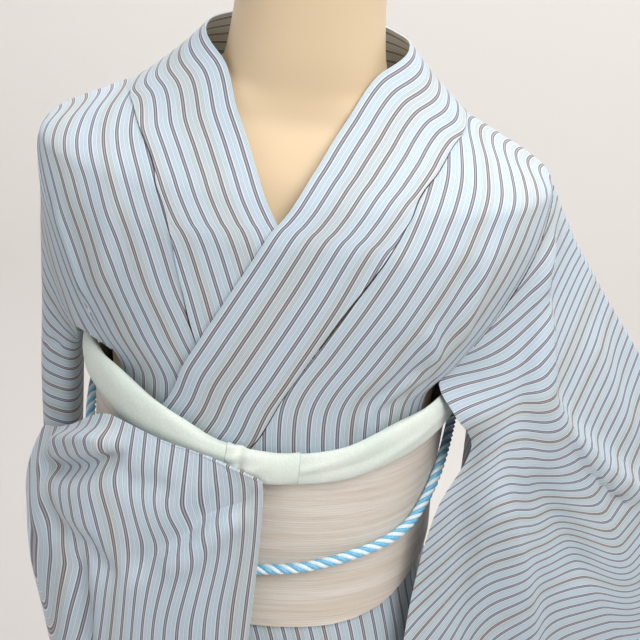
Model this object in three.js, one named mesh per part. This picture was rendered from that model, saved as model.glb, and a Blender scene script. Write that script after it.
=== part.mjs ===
// A kimono with its belt, dressed on a limbless dress form. Millimetres, +Z up, origin on the floor
// under the pole. +X is the wearer's left and the front faces -Y. Every cloth piece is a thin closed
// wall: a grid of outer points and the same grid moved in by the cloth's thickness. The points come
// from one body surface, given by level sections, and from short tables of rows along each piece.
import * as THREE from "three";

// ---- Driving sizes ----
const CLOTH = 1.2; // wall of one cloth layer
const BAND = 2.6; // wall of the folded collar band
const OBI_WALL = 3; // wall of the belt with its stiffener
const SEAM = 0.8; // gap between sewn edges, measured on the outer points
const ARMHOLE_GAP = 3.6; // gap between a body panel's edge and the sleeve sewn to it
const PANEL_WIDTH = 120; // typical width of a body panel, from its inner to its outer edge
const UNDER = 1.4; // outer face of the layer next to the form
const OVER = 5.4; // outer face of the left front where it lies over the right front
const OBI_INNER = 7.4; // inner face of the belt from the body surface
const OBI_LEAN = 1.5; // how much further out the belt's upper edge stands than its lower edge
const OBI_FULL = 1075; // height above which the belt no longer widens with the body
const ROUND = 2 / 2.3; // exponent of the body's rounded sections
const HEM = 30; // height of the hem above the floor
const NECK_TOP = 1480; // top of the form's neck
const FORM_BOTTOM = 790; // lower end of the form's torso
const BASE_HEIGHT = 14;
const BASE_RADIUS = 175;
const BASE_BEVEL = 5;
const POLE_RADIUS = 14;
const CLOSE = 0.3; // gap between pieces that touch
const CORD_RADIUS = 4.2;
const CORD_KNOT = 9; // half length of the cord's knot
// The cord's middle from the body surface.
const CORD_OFF = OBI_INNER + OBI_WALL + OBI_LEAN + CORD_RADIUS + CLOSE;
const KNOT_TURNS = { from: 79, to: 96 }; // where the scarf's knot lies round the body
const KNOT_GAP = 0.3; // turn left open between the knot and the scarf on each side of it
const KNOT_BULGE = 3; // how far the knot's middle stands out before the scarf
const LEFT = 1; // the wearer's left is +X
const RIGHT = -1;
const ROUNDED_FOLD = 0.7; // exponent of a flat tube's section, which makes its two folds round
const LAYER_REACH = 0.3; // most that a layer's wall takes of the way across its tube
const FOLD_REACH = 0.45; // the same for the wall at a fold
const APART = 16; // distance between a flat tube's layers from which each wall follows its own normal

// ---- Steps of each grid, along the piece and across it ----
const PANEL_STEPS = { along: 36, across: 12 };
const COLLAR_STEPS = { along: 42, across: 4 };
const SKIRT_STEPS = { along: 10, across: 8 };
const SLEEVE_STEPS = { along: 14, across: 18 };
const SHORT_SLEEVE_STEPS = { along: 10, across: 10 };
const OBI_STEPS = { round: 44, up: 3 };
const SCARF_STEPS = { along: 40, knot: 8, round: 12 };
const CORD_STEPS = { along: 64, round: 8 };
const FORM_STEPS = { up: 24, round: 28 };

// ---- Tables: the body that the cloth lies on ----
// Level sections: half width, depth in front of and behind the axis, and the axis's place along Y.
const SECTIONS = [
  { z: 20, half: 148, front: 112, back: 112, axis: 0 },
  { z: 300, half: 151, front: 117, back: 118, axis: 0 },
  { z: 600, half: 160, front: 126, back: 130, axis: 0 },
  { z: 800, half: 163, front: 131, back: 138, axis: 0 },
  { z: 870, half: 154, front: 129, back: 132, axis: 0 },
  { z: 925, half: 141, front: 127, back: 122, axis: 0 },
  { z: 1000, half: 136.5, front: 126, back: 118, axis: 0 },
  { z: 1075, half: 137.5, front: 125, back: 113, axis: 0 },
  { z: 1112, half: 143, front: 125, back: 112, axis: 1 },
  { z: 1145, half: 170, front: 128, back: 112, axis: 5 },
  { z: 1186, half: 193, front: 130, back: 112, axis: 10 },
  { z: 1240, half: 207, front: 125, back: 111, axis: 15 },
  { z: 1268, half: 205, front: 114, back: 106, axis: 17 },
  { z: 1291, half: 168, front: 97, back: 97, axis: 17 },
  { z: 1309, half: 133, front: 80, back: 86, axis: 17 },
  { z: 1325, half: 114, front: 64, back: 74, axis: 17 },
  { z: 1340, half: 98, front: 50, back: 60, axis: 17 },
  { z: 1367, half: 74, front: 30, back: 30, axis: 17 },
];

// The form: level sections of its own, inside the cloth, and 0.5 mm from it round the waist.
const FORM = [
  { z: FORM_BOTTOM, half: 150, front: 120, back: 124, axis: 0 },
  { z: 850, half: 150, front: 122, back: 126, axis: 0 },
  { z: 925, half: 139.8, front: 125.8, back: 120.8, axis: 0 },
  { z: 1000, half: 135.3, front: 124.8, back: 116.8, axis: 0 },
  { z: 1075, half: 135, front: 122, back: 112, axis: 0 },
  { z: 1141, half: 146, front: 121, back: 106, axis: 5 },
  { z: 1200, half: 152, front: 119, back: 104, axis: 11 },
  { z: 1235, half: 170, front: 112, back: 102, axis: 15 },
  { z: 1258, half: 188, front: 100, back: 97, axis: 17 },
  { z: 1280, half: 172, front: 88, back: 90, axis: 17 },
  { z: 1300, half: 138, front: 74, back: 80, axis: 17 },
  { z: 1320, half: 98, front: 60, back: 68, axis: 16 },
  { z: 1342, half: 65, front: 56, back: 60, axis: 15 },
  { z: 1370, half: 60, front: 57, back: 57, axis: 14 },
  { z: 1400, half: 57.5, front: 57, back: 57, axis: 12 },
  { z: 1450, half: 57, front: 57, back: 57, axis: 7 },
  { z: NECK_TOP, half: 58, front: 58, back: 58, axis: 4 },
];

// ---- Tables: kimono ----
// Turn is the angle round the body from the piece's own side (0) through the front (90); the back is
// negative. Body panels, from the waist fold in front over the shoulder to the waist fold behind. "in"
// is the edge at the collar, overlap or centre back, "out" the edge at the sleeve or side; lift is how
// far that edge's face stands off.
const BODY_LEFT = [
  { inTurn: 146, inZ: 862, inLift: 8, outTurn: 0.2, outZ: 866, outLift: 5.1 },
  { inTurn: 143, inZ: 893, inLift: 8.2, outTurn: 0.2, outZ: 900, outLift: 5.1 },
  { inTurn: 132, inZ: 928, inLift: 5.85, outTurn: 0.2, outZ: 945, outLift: 3.6 },
  { inTurn: 112, inZ: 1000, inLift: OVER, outTurn: 4, outZ: 1010, outLift: 2 },
  { inTurn: 98, inZ: 1047, inLift: OVER, outTurn: 18, outZ: 1064, outLift: UNDER },
  { inTurn: 91.4, inZ: 1077, inLift: OVER, outTurn: 29, outZ: 1098, outLift: UNDER },
  { inTurn: 83.9, inZ: 1140, inLift: OVER, outTurn: 31, outZ: 1126, outLift: 3 },
  { inTurn: 76.6, inZ: 1198, inLift: OVER, outTurn: 29, outZ: 1158, outLift: UNDER },
  { inTurn: 68.9, inZ: 1249, inLift: 4.6, outTurn: 25, outZ: 1194, outLift: UNDER },
  { inTurn: 63.6, inZ: 1276, inLift: 3, outTurn: 20, outZ: 1227, outLift: UNDER },
  { inTurn: 50, inZ: 1294, inLift: 2, outTurn: 12, outZ: 1253, outLift: UNDER },
  { inTurn: 26, inZ: 1308, inLift: UNDER, outTurn: 6, outZ: 1262, outLift: UNDER },
  { inTurn: 0, inZ: 1312, inLift: UNDER, outTurn: 0, outZ: 1268, outLift: UNDER },
  { inTurn: -42, inZ: 1302, inLift: UNDER, outTurn: -12, outZ: 1252, outLift: UNDER },
  { inTurn: -68, inZ: 1289, inLift: UNDER, outTurn: -20, outZ: 1222, outLift: UNDER },
  { inTurn: -89.9, inZ: 1280.5, inLift: UNDER, outTurn: -26, outZ: 1185, outLift: UNDER },
  { inTurn: -89.9, inZ: 1200, inLift: UNDER, outTurn: -30, outZ: 1128, outLift: 3 },
  { inTurn: -89.9, inZ: 1110, inLift: UNDER, outTurn: -29, outZ: 1096, outLift: UNDER },
  { inTurn: -89.9, inZ: 1050, inLift: UNDER, outTurn: -16, outZ: 1050, outLift: UNDER },
  { inTurn: -89.9, inZ: 1000, inLift: 2, outTurn: -0.2, outZ: 1000, outLift: 2 },
  { inTurn: -89.9, inZ: 935, inLift: 3.6, outTurn: -0.2, outZ: 945, outLift: 3.6 },
  { inTurn: -89.9, inZ: 866, inLift: 5, outTurn: -0.2, outZ: 866, outLift: 5 },
];
const BODY_RIGHT = [
  { inTurn: 62, inZ: 868, inLift: 5.15, outTurn: 0.2, outZ: 866, outLift: 5.1 },
  { inTurn: 70, inZ: 903, inLift: 5.2, outTurn: 0.2, outZ: 903, outLift: 5.1 },
  { inTurn: 84, inZ: 912, inLift: 2.4, outTurn: 0.2, outZ: 935, outLift: 3.6 },
  { inTurn: 104, inZ: 1000, inLift: UNDER, outTurn: 4, outZ: 1005, outLift: 2 },
  { inTurn: 94, inZ: 1047, inLift: UNDER, outTurn: 22, outZ: 1060, outLift: UNDER },
  { inTurn: 86, inZ: 1095, inLift: UNDER, outTurn: 37, outZ: 1098, outLift: UNDER },
  { inTurn: 79, inZ: 1135, inLift: UNDER, outTurn: 39, outZ: 1124, outLift: 3 },
  { inTurn: 75, inZ: 1170, inLift: UNDER, outTurn: 38, outZ: 1148, outLift: 2 },
  { inTurn: 73.2, inZ: 1205, inLift: UNDER, outTurn: 36, outZ: 1176, outLift: UNDER },
  { inTurn: 70.3, inZ: 1244, inLift: UNDER, outTurn: 33, outZ: 1208, outLift: UNDER },
  { inTurn: 63.6, inZ: 1277, inLift: UNDER, outTurn: 26, outZ: 1238, outLift: UNDER },
  { inTurn: 46, inZ: 1297, inLift: UNDER, outTurn: 15, outZ: 1257, outLift: UNDER },
  { inTurn: 22, inZ: 1307, inLift: UNDER, outTurn: 7, outZ: 1263, outLift: UNDER },
  { inTurn: 0, inZ: 1309, inLift: UNDER, outTurn: 0, outZ: 1268, outLift: UNDER },
  { inTurn: -42, inZ: 1302, inLift: UNDER, outTurn: -12, outZ: 1252, outLift: UNDER },
  { inTurn: -68, inZ: 1289, inLift: UNDER, outTurn: -20, outZ: 1222, outLift: UNDER },
  { inTurn: -89.9, inZ: 1280.5, inLift: UNDER, outTurn: -26, outZ: 1185, outLift: UNDER },
  { inTurn: -89.9, inZ: 1200, inLift: UNDER, outTurn: -30, outZ: 1128, outLift: 3 },
  { inTurn: -89.9, inZ: 1110, inLift: UNDER, outTurn: -29, outZ: 1096, outLift: UNDER },
  { inTurn: -89.9, inZ: 1050, inLift: UNDER, outTurn: -16, outZ: 1050, outLift: UNDER },
  { inTurn: -89.9, inZ: 1000, inLift: 2, outTurn: -0.2, outZ: 1000, outLift: 2 },
  { inTurn: -89.9, inZ: 935, inLift: 3.6, outTurn: -0.2, outZ: 945, outLift: 3.6 },
  { inTurn: -89.9, inZ: 866, inLift: 5, outTurn: -0.2, outZ: 866, outLift: 5 },
];
// Rows of the panel where the sleeve joins it.
const LEFT_ARMHOLE = { frontEnd: 6, ridge: 12, backEnd: 16 };
const RIGHT_ARMHOLE = { frontEnd: 6, ridge: 13, backEnd: 17 };

// Collar, from the wearer's right front round the neck to the left front. side tells whose turn the
// row uses. "edge" is the free edge at the neck, "seam" the edge sewn to the body panels.
const COLLAR = [
  { side: RIGHT, edgeTurn: 107, edgeZ: 1135, edgeLift: 3.2, seamTurn: 84, seamZ: 1110, seamLift: 3.2 },
  { side: RIGHT, edgeTurn: 100, edgeZ: 1168, edgeLift: 3.2, seamTurn: 77, seamZ: 1150, seamLift: 3.2 },
  { side: RIGHT, edgeTurn: 94.2, edgeZ: 1215, edgeLift: 3.2, seamTurn: 73.2, seamZ: 1205, seamLift: 3.2 },
  { side: RIGHT, edgeTurn: 90.1, edgeZ: 1256, edgeLift: 3.2, seamTurn: 70.3, seamZ: 1244, seamLift: 3.2 },
  { side: RIGHT, edgeTurn: 84.3, edgeZ: 1291, edgeLift: 3.2, seamTurn: 63.6, seamZ: 1277, seamLift: 3.2 },
  { side: RIGHT, edgeTurn: 71, edgeZ: 1323, edgeLift: 4.6, seamTurn: 46, seamZ: 1297, seamLift: 3.2 },
  { side: RIGHT, edgeTurn: 51, edgeZ: 1350, edgeLift: 5, seamTurn: 22, seamZ: 1307, seamLift: 3.2 },
  { side: RIGHT, edgeTurn: 0, edgeZ: 1364, edgeLift: 4, seamTurn: 0, seamZ: 1309, seamLift: 3.2 },
  { side: RIGHT, edgeTurn: -38, edgeZ: 1356, edgeLift: 12, seamTurn: -42, seamZ: 1302, seamLift: 3.2 },
  { side: RIGHT, edgeTurn: -66, edgeZ: 1344, edgeLift: 25, seamTurn: -68, seamZ: 1291, seamLift: 3.2 },
  { side: RIGHT, edgeTurn: -90, edgeZ: 1335, edgeLift: 34, seamTurn: -90, seamZ: 1283, seamLift: 3.2 },
  { side: LEFT, edgeTurn: -66, edgeZ: 1344, edgeLift: 25, seamTurn: -68, seamZ: 1291, seamLift: 3.2 },
  { side: LEFT, edgeTurn: -38, edgeZ: 1356, edgeLift: 12, seamTurn: -42, seamZ: 1302, seamLift: 3.2 },
  { side: LEFT, edgeTurn: 0, edgeZ: 1364, edgeLift: 4, seamTurn: 0, seamZ: 1312, seamLift: 3.2 },
  { side: LEFT, edgeTurn: 49, edgeZ: 1353, edgeLift: 5, seamTurn: 26, seamZ: 1308, seamLift: 3.2 },
  { side: LEFT, edgeTurn: 72.8, edgeZ: 1324, edgeLift: 4.6, seamTurn: 50, seamZ: 1294, seamLift: 3.8 },
  { side: LEFT, edgeTurn: 85.7, edgeZ: 1287, edgeLift: 6.2, seamTurn: 63.6, seamZ: 1276, seamLift: 4.8 },
  { side: LEFT, edgeTurn: 90.1, edgeZ: 1257, edgeLift: 6.9, seamTurn: 68.9, seamZ: 1249, seamLift: 6 },
  { side: LEFT, edgeTurn: 94.7, edgeZ: 1218, edgeLift: 7, seamTurn: 77, seamZ: 1198, seamLift: 7 },
  { side: LEFT, edgeTurn: 102.3, edgeZ: 1168, edgeLift: 7, seamTurn: 83.9, seamZ: 1140, seamLift: 7 },
  { side: LEFT, edgeTurn: 116, edgeZ: 1109, edgeLift: 6.9, seamTurn: 91.4, seamZ: 1077, seamLift: 6.9 },
  { side: LEFT, edgeTurn: 128, edgeZ: 1066, edgeLift: 6.7, seamTurn: 98, seamZ: 1047, seamLift: 6.7 },
];

// Skirt: each panel spans from one turn to another, its face standing off by a lift that may change
// across it.
const SKIRT_TOP = 905;
const SKIRT = [
  { name: "skirt_back_left", side: LEFT, from: -89.95, to: -0.1, lift: UNDER, liftTo: UNDER, tip: 0 },
  { name: "skirt_back_right", side: RIGHT, from: -89.95, to: -0.1, lift: UNDER, liftTo: UNDER, tip: 0 },
  { name: "skirt_front_right", side: RIGHT, from: 0.1, to: 76, lift: UNDER, liftTo: UNDER, tip: 4 },
  { name: "okumi_right", side: RIGHT, from: 76.3, to: 132, lift: UNDER, liftTo: UNDER, tip: 10 },
  { name: "skirt_front_left", side: LEFT, from: 0.1, to: 84, lift: UNDER, liftTo: 3.6, tip: 3 },
  { name: "okumi_left", side: LEFT, from: 84.3, to: 146, lift: 3.6, liftTo: 3.6, tip: 14 },
];

// The wearer's left sleeve: rings across the sleeve from the armhole to the cuff. Each ring runs from
// the fold on top through a point in front to the lower fold; depth is how far the back layer hangs
// behind the front one.
const SLEEVE_LEFT = [
  { at: 0.2, topX: 231, topY: 20, topZ: 1222, frontX: 192, frontY: -82, frontZ: 1070,
    hemX: 190, hemY: -92, hemZ: 788, depth: 92 },
  { at: 0.4, topX: 266, topY: 26, topZ: 1172, frontX: 232, frontY: -72, frontZ: 1000,
    hemX: 222, hemY: -68, hemZ: 740, depth: 60 },
  { at: 0.6, topX: 305, topY: 32, topZ: 1119, frontX: 270, frontY: -55, frontZ: 940,
    hemX: 252, hemY: -44, hemZ: 682, depth: 44 },
  { at: 0.8, topX: 345, topY: 38, topZ: 1064, frontX: 308, frontY: -34, frontZ: 870,
    hemX: 280, hemY: -14, hemZ: 620, depth: 34 },
  { at: 1, topX: 386, topY: 44, topZ: 1008, frontX: 346, frontY: -12, frontZ: 800,
    hemX: 304, hemY: 20, hemZ: 562, depth: 26 },
];
// Its body side: the free edges below the armhole, front and back, from the armpit down to the lower
// fold.
const FURI_FRONT = [
  { x: 152, y: -84, z: 1104 },
  { x: 170, y: -72, z: 1070 },
  { x: 150, y: -90, z: 1020 },
  { x: 141, y: -98, z: 960 },
  { x: 138, y: -108, z: 890 },
  { x: 142, y: -112, z: 840 },
];
const FURI_BACK = [
  { x: 162, y: -84, z: 840 },
  { x: 168, y: -42, z: 890 },
  { x: 171, y: -4, z: 960 },
  { x: 172, y: 32, z: 1020 },
  { x: 170, y: 56, z: 1070 },
  { x: 165, y: 70, z: 1106 },
];
const FURI_HEM = { x: 154, y: -102, z: 800 };

// The wearer's right sleeve hangs from the armhole as a flat tube: level rings with outer, front,
// inner and back points.
const SLEEVE_RIGHT = [
  { at: 0.36, x: -184, y: 6, z: 1156, outX: -20, outY: 4, outZ: 55, frontX: 6, frontY: -52, frontZ: 0 },
  { at: 0.6, x: -184, y: 8, z: 1096, outX: -19, outY: 4, outZ: 10, frontX: 4, frontY: -36, frontZ: 0 },
  { at: 0.82, x: -183, y: 2, z: 1056, outX: -18, outY: 4, outZ: 3, frontX: 1, frontY: -26, frontZ: 0 },
  { at: 1, x: -181, y: 2, z: 985, outX: -17, outY: 4, outZ: 0, frontX: 1, frontY: -24, frontZ: 0 },
];
// Its armpit, between the front and the back end of the armhole.
const RIGHT_ARMPIT = [
  { x: -156, y: -40, z: 1124 },
  { x: -164, y: 0, z: 1122 },
  { x: -163, y: 34, z: 1128 },
];
// Its lower stretch lies across the belt, from the elbow to the cuff.
const SLEEVE_FORE = [
  { at: 0, topX: -190, topY: -34, topZ: 1012, frontX: -202, frontY: -47, frontZ: 962,
    hemX: -193, hemY: -44, hemZ: 912, depth: 34 },
  { at: 0.18, topX: -160, topY: -84, topZ: 1046, frontX: -180, frontY: -112, frontZ: 945,
    hemX: -162, hemY: -90, hemZ: 848, depth: 46 },
  { at: 0.4, topX: -114, topY: -124, topZ: 1088, frontX: -130, frontY: -156, frontZ: 930,
    hemX: -138, hemY: -104, hemZ: 640, depth: 40 },
  { at: 0.7, topX: -56, topY: -148, topZ: 1083, frontX: -62, frontY: -171, frontZ: 900,
    hemX: -74, hemY: -138, hemZ: 596, depth: 20 },
  { at: 1, topX: 9, topY: -152, topZ: 1064, frontX: 11, frontY: -159.6, frontZ: 930,
    hemX: -4, hemY: -152, hemZ: 578, depth: 8.9 },
];

// The largest folds of the two sleeves' front layers, by shares along the sleeve and across the layer
// from its upper fold. A positive rise is a ridge, a negative one a valley.
const FOLDS_LEFT = [
  { startAlong: 0.1, startAcross: 0.05, endAlong: 0.12, endAcross: 0.62, rise: 4, wide: 0.07 },
  { startAlong: 0.24, startAcross: 0.05, endAlong: 0.24, endAcross: 0.6, rise: -4, wide: 0.07 },
  { startAlong: 0.3, startAcross: 0.05, endAlong: 0.9, endAcross: 0.75, rise: 5, wide: 0.08 },
  { startAlong: 0.42, startAcross: 0.5, endAlong: 1, endAcross: 0.9, rise: -4, wide: 0.08 },
];
const FOLDS_FORE = [
  { startAlong: 0.2, startAcross: 0.1, endAlong: 0.75, endAcross: 0.25, rise: 3, wide: 0.08 },
  { startAlong: 0.95, startAcross: 0.2, endAlong: 0.4, endAcross: 0.55, rise: -4, wide: 0.08 },
];

// ---- Tables: belt ----
// Edges of the belt by turn from either side: the belt's top and bottom heights.
const OBI = [
  { turn: -90, top: 1102, bottom: 972 },
  { turn: -45, top: 1098, bottom: 966 },
  { turn: 0, top: 1088, bottom: 951 },
  { turn: 28, top: 1078, bottom: 934 },
  { turn: 45, top: 1069, bottom: 920 },
  { turn: 66, top: 1058, bottom: 913 },
  { turn: 90, top: 1054, bottom: 912 },
];
// The scarf above the belt: centre height, half height and half depth by turn round the body from the
// wearer's left.
const OBIAGE = [
  { turn: -90, z: 1118, tall: 13, deep: 6, off: 15 },
  { turn: -45, z: 1113, tall: 13, deep: 6, off: 15 },
  { turn: 0, z: 1103, tall: 13, deep: 6, off: 14.5 },
  { turn: 28, z: 1096, tall: 16, deep: 6.5, off: 15 },
  { turn: 45, z: 1089, tall: 17.5, deep: 7, off: 15 },
  { turn: 68, z: 1074, tall: 14.5, deep: 7, off: 15 },
  { turn: 83, z: 1070, tall: 14, deep: 7, off: 15 },
  { turn: 98, z: 1072, tall: 15, deep: 7, off: 15 },
  { turn: 110, z: 1081, tall: 18, deep: 7, off: 15.4 },
  { turn: 128, z: 1094, tall: 20, deep: 7.5, off: 15.6 },
  { turn: 142, z: 1101, tall: 18, deep: 7, off: 15.4 },
  { turn: 180, z: 1103, tall: 13, deep: 6, off: 14.5 },
  { turn: 225, z: 1113, tall: 13, deep: 6, off: 15 },
  { turn: 270, z: 1118, tall: 13, deep: 6, off: 15 },
];
// The cord: round the belt in front by turn and height, then through the bow at the back.
const CORD_FRONT = [
  { turn: 90, z: 972 },
  { turn: 75, z: 977 },
  { turn: 60, z: 985 },
  { turn: 45, z: 991 },
  { turn: 34, z: 998 },
  { turn: 26, z: 1010 },
  { turn: 18, z: 1024 },
  { turn: 6, z: 1036 },
];
const CORD_BACK = [
  { x: 160, y: 60, z: 1046 },
  { x: 162, y: 104, z: 1047 },
  { x: 158, y: 134, z: 1047 },
  { x: 142, y: 143, z: 1047 },
  { x: 70, y: 143, z: 1047 },
  { x: 0, y: 143, z: 1047 },
];
// The bow: a hollow loop of belt across the back, seen from its end.
const DRUM = {
  halfWidth: 150, inner: 123.8, outer: 186, bottom: 852, top: 1098, round: 26, wall: OBI_WALL, lean: 0.062,
};

// ---- Interpolation ----
// Smooth monotone curve through the rows of a table, by its key column; gives every column at any key.
function tableCurve(rows, key) {
  const keys = rows.map((row) => row[key]);
  const columns = Object.keys(rows[0]).filter((name) => typeof rows[0][name] === "number");
  const slopes = {};
  for (const name of columns) {
    slopes[name] = monotoneSlopes(keys, rows.map((row) => row[name]));
  }
  return (at) => {
    let i = 0;
    while (i < keys.length - 2 && at > keys[i + 1]) i += 1;
    const span = keys[i + 1] - keys[i];
    const u = THREE.MathUtils.clamp((at - keys[i]) / span, 0, 1);
    const values = {};
    for (const name of columns) {
      const [slopeA, slopeB] = [slopes[name][i] * span, slopes[name][i + 1] * span];
      values[name] = hermite(rows[i][name], rows[i + 1][name], slopeA, slopeB, u);
    }
    return values;
  };
}

function hermite(a, b, slopeA, slopeB, u) {
  const u2 = u * u;
  const u3 = u2 * u;
  const ends = (2 * u3 - 3 * u2 + 1) * a + (3 * u2 - 2 * u3) * b;
  return ends + (u3 - 2 * u2 + u) * slopeA + (u3 - u2) * slopeB;
}

function monotoneSlopes(keys, values) {
  const steps = keys.slice(1).map((key, i) => key - keys[i]);
  const rises = values.slice(1).map((value, i) => (value - values[i]) / steps[i]);
  return values.map((_, i) => {
    if (i === 0) return rises[0];
    if (i === values.length - 1) return rises[i - 1];
    if (rises[i - 1] * rises[i] <= 0) return 0;
    const weightA = 2 * steps[i] + steps[i - 1];
    const weightB = steps[i] + 2 * steps[i - 1];
    return (weightA + weightB) / (weightA / rises[i - 1] + weightB / rises[i]);
  });
}

const withIndex = (rows) => tableCurve(rows.map((row, index) => ({ ...row, index })), "index");
const xyz = (row) => new THREE.Vector3(row.x, row.y, row.z);

// ---- The body surface ----
const bodySection = tableCurve(SECTIONS, "z");
const formSection = tableCurve(FORM, "z");

function sectionPoint(section, turn, z) {
  const angle = THREE.MathUtils.degToRad(turn);
  const across = Math.cos(angle);
  const along = Math.sin(angle);
  const depth = along >= 0 ? section.front : section.back;
  const x = section.half * Math.sign(across) * Math.abs(across) ** ROUND;
  const y = section.axis - depth * Math.sign(along) * Math.abs(along) ** ROUND;
  return new THREE.Vector3(x, y, z);
}

// A point of the body surface moved out by lift, at a turn from the wearer's left side.
function bodyPoint(turn, z, lift) {
  const at = (turnAt, zAt) => sectionPoint(bodySection(zAt), turnAt, zAt);
  const point = at(turn, z);
  const round = at(turn - 0.5, z).sub(at(turn + 0.5, z));
  const up = at(turn, Math.min(z + 1, 1367)).sub(at(turn, z - 1));
  return point.addScaledVector(up.cross(round).normalize().negate(), lift);
}

const onSide = (side, turn) => (side === LEFT ? turn : 180 - turn);

// ---- Walls ----
// A grid of outer points, rows[i][j], and the inner grid behind it, closed round its edges. The inner
// point is a wall's thickness in along the normal, or where the function behind puts it.
function wall(rows, thickness, ringed, behind = (normal) => normal.multiplyScalar(thickness)) {
  const normals = rows.map((row, i) => row.map((_, j) => {
    const before = ringed ? row[(j - 1 + row.length) % row.length] : row[Math.max(j - 1, 0)];
    const after = ringed ? row[(j + 1) % row.length] : row[Math.min(j + 1, row.length - 1)];
    const across = after.clone().sub(before);
    const along = rows[Math.min(i + 1, rows.length - 1)][j].clone().sub(rows[Math.max(i - 1, 0)][j]);
    return across.cross(along).normalize();
  }));
  const inward = outwardness(rows, normals, ringed) > 0 ? -1 : 1;
  const inner = rows.map((row, i) => row.map((point, j) => (
    point.clone().add(behind(normals[i][j].multiplyScalar(inward), row, j))
  )));
  const width = rows[0].length;
  const count = rows.length * width;
  const triangles = [];
  const quad = (a, b, c, d) => triangles.push(a, b, c, a, c, d);
  const spans = ringed ? width : width - 1;
  for (let i = 0; i < rows.length - 1; i += 1) {
    for (let j = 0; j < spans; j += 1) {
      const a = i * width + j;
      const b = i * width + ((j + 1) % width);
      quad(a, b, b + width, a + width);
      quad(count + a, count + a + width, count + b + width, count + b);
    }
  }
  const last = (rows.length - 1) * width;
  for (let j = 0; j < spans; j += 1) {
    const next = (j + 1) % width;
    quad(next, j, count + j, count + next);
    quad(last + j, last + next, count + last + next, count + last + j);
  }
  if (!ringed) {
    for (let i = 0; i < rows.length - 1; i += 1) {
      const a = i * width;
      const b = a + width - 1;
      quad(a, a + width, count + a + width, count + a);
      quad(b + width, b, count + b, count + b + width);
    }
  }
  return facingOut([...rows.flat(), ...inner.flat()], triangles);
}

// How far the normals point away from the middle: of each ring, or of the upright axis for an open sheet.
function outwardness(rows, normals, ringed) {
  let sum = 0;
  rows.forEach((row, i) => {
    const middle = new THREE.Vector3();
    row.forEach((point) => middle.addScaledVector(point, 1 / row.length));
    row.forEach((point, j) => {
      const from = ringed ? middle : new THREE.Vector3(0, 0, point.z);
      sum += point.clone().sub(from).dot(normals[i][j]);
    });
  });
  return sum;
}

// A solid through closed rings of points, with flat ends, or joined end to end.
function solid(rings, looped) {
  const width = rings[0].length;
  const points = rings.flat();
  const triangles = [];
  const spans = looped ? rings.length : rings.length - 1;
  for (let i = 0; i < spans; i += 1) {
    const next = ((i + 1) % rings.length) * width;
    for (let j = 0; j < width; j += 1) {
      const k = (j + 1) % width;
      triangles.push(i * width + j, i * width + k, next + k);
      triangles.push(i * width + j, next + k, next + j);
    }
  }
  if (!looped) {
    for (const [ring, turned] of [[0, true], [rings.length - 1, false]]) {
      const middle = new THREE.Vector3();
      rings[ring].forEach((point) => middle.addScaledVector(point, 1 / width));
      points.push(middle);
      for (let j = 0; j < width; j += 1) {
        const a = ring * width + j;
        const b = ring * width + ((j + 1) % width);
        if (turned) triangles.push(points.length - 1, b, a);
        else triangles.push(points.length - 1, a, b);
      }
    }
  }
  return facingOut(points, triangles);
}

// The triangles as a geometry whose faces point out of the solid.
function facingOut(points, triangles) {
  let volume = 0;
  for (let i = 0; i < triangles.length; i += 3) {
    const [a, b, c] = [points[triangles[i]], points[triangles[i + 1]], points[triangles[i + 2]]];
    volume += a.dot(b.clone().cross(c));
  }
  const geometry = new THREE.BufferGeometry().setFromPoints(points);
  geometry.setIndex(volume > 0 ? triangles : triangles.reverse());
  geometry.computeVertexNormals();
  return geometry;
}

const spread = (count, make) => Array.from({ length: count + 1 }, (_, i) => make(i / count));

// ---- Kimono pieces ----
// A body panel's point: share runs from its inner to its outer edge, row along the table.
function panelPoint(curve, side, share, row) {
  const edge = curve(row);
  const turn = THREE.MathUtils.lerp(edge.inTurn, edge.outTurn, share);
  const z = THREE.MathUtils.lerp(edge.inZ, edge.outZ, share);
  const lift = THREE.MathUtils.lerp(edge.inLift, edge.outLift, share ** 3);
  return bodyPoint(onSide(side, turn), z, lift);
}

function bodyPanel(rows, side) {
  const curve = withIndex(rows);
  const gap = SEAM / PANEL_WIDTH;
  const grid = spread(PANEL_STEPS.along, (v) => spread(PANEL_STEPS.across, (u) => {
    const share = gap + u * (1 - 2 * gap);
    return panelPoint(curve, side, share, v * (rows.length - 1));
  }));
  return wall(grid, CLOTH, false);
}

function collarBand() {
  const curve = withIndex(COLLAR.map((row) => ({
    edgeTurn: onSide(row.side, row.edgeTurn), edgeZ: row.edgeZ, edgeLift: row.edgeLift,
    seamTurn: onSide(row.side, row.seamTurn), seamZ: row.seamZ, seamLift: row.seamLift,
  })).map((row, index) => (index > 10 && index < 22 ? { ...row, ...carriedOn(row) } : row)));
  const grid = spread(COLLAR_STEPS.along, (v) => spread(COLLAR_STEPS.across, (u) => {
    const row = curve(v * (COLLAR.length - 1));
    return bodyPoint(
      THREE.MathUtils.lerp(row.edgeTurn, row.seamTurn, u),
      THREE.MathUtils.lerp(row.edgeZ, row.seamZ, u),
      THREE.MathUtils.lerp(row.edgeLift, row.seamLift, u),
    );
  }));
  return wall(grid, BAND, false);
}

// Turns on the left side carried on past the centre back, so that the band's turns run on without a jump.
const carriedOn = (row) => ({ edgeTurn: row.edgeTurn + 360, seamTurn: row.seamTurn + 360 });

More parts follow.
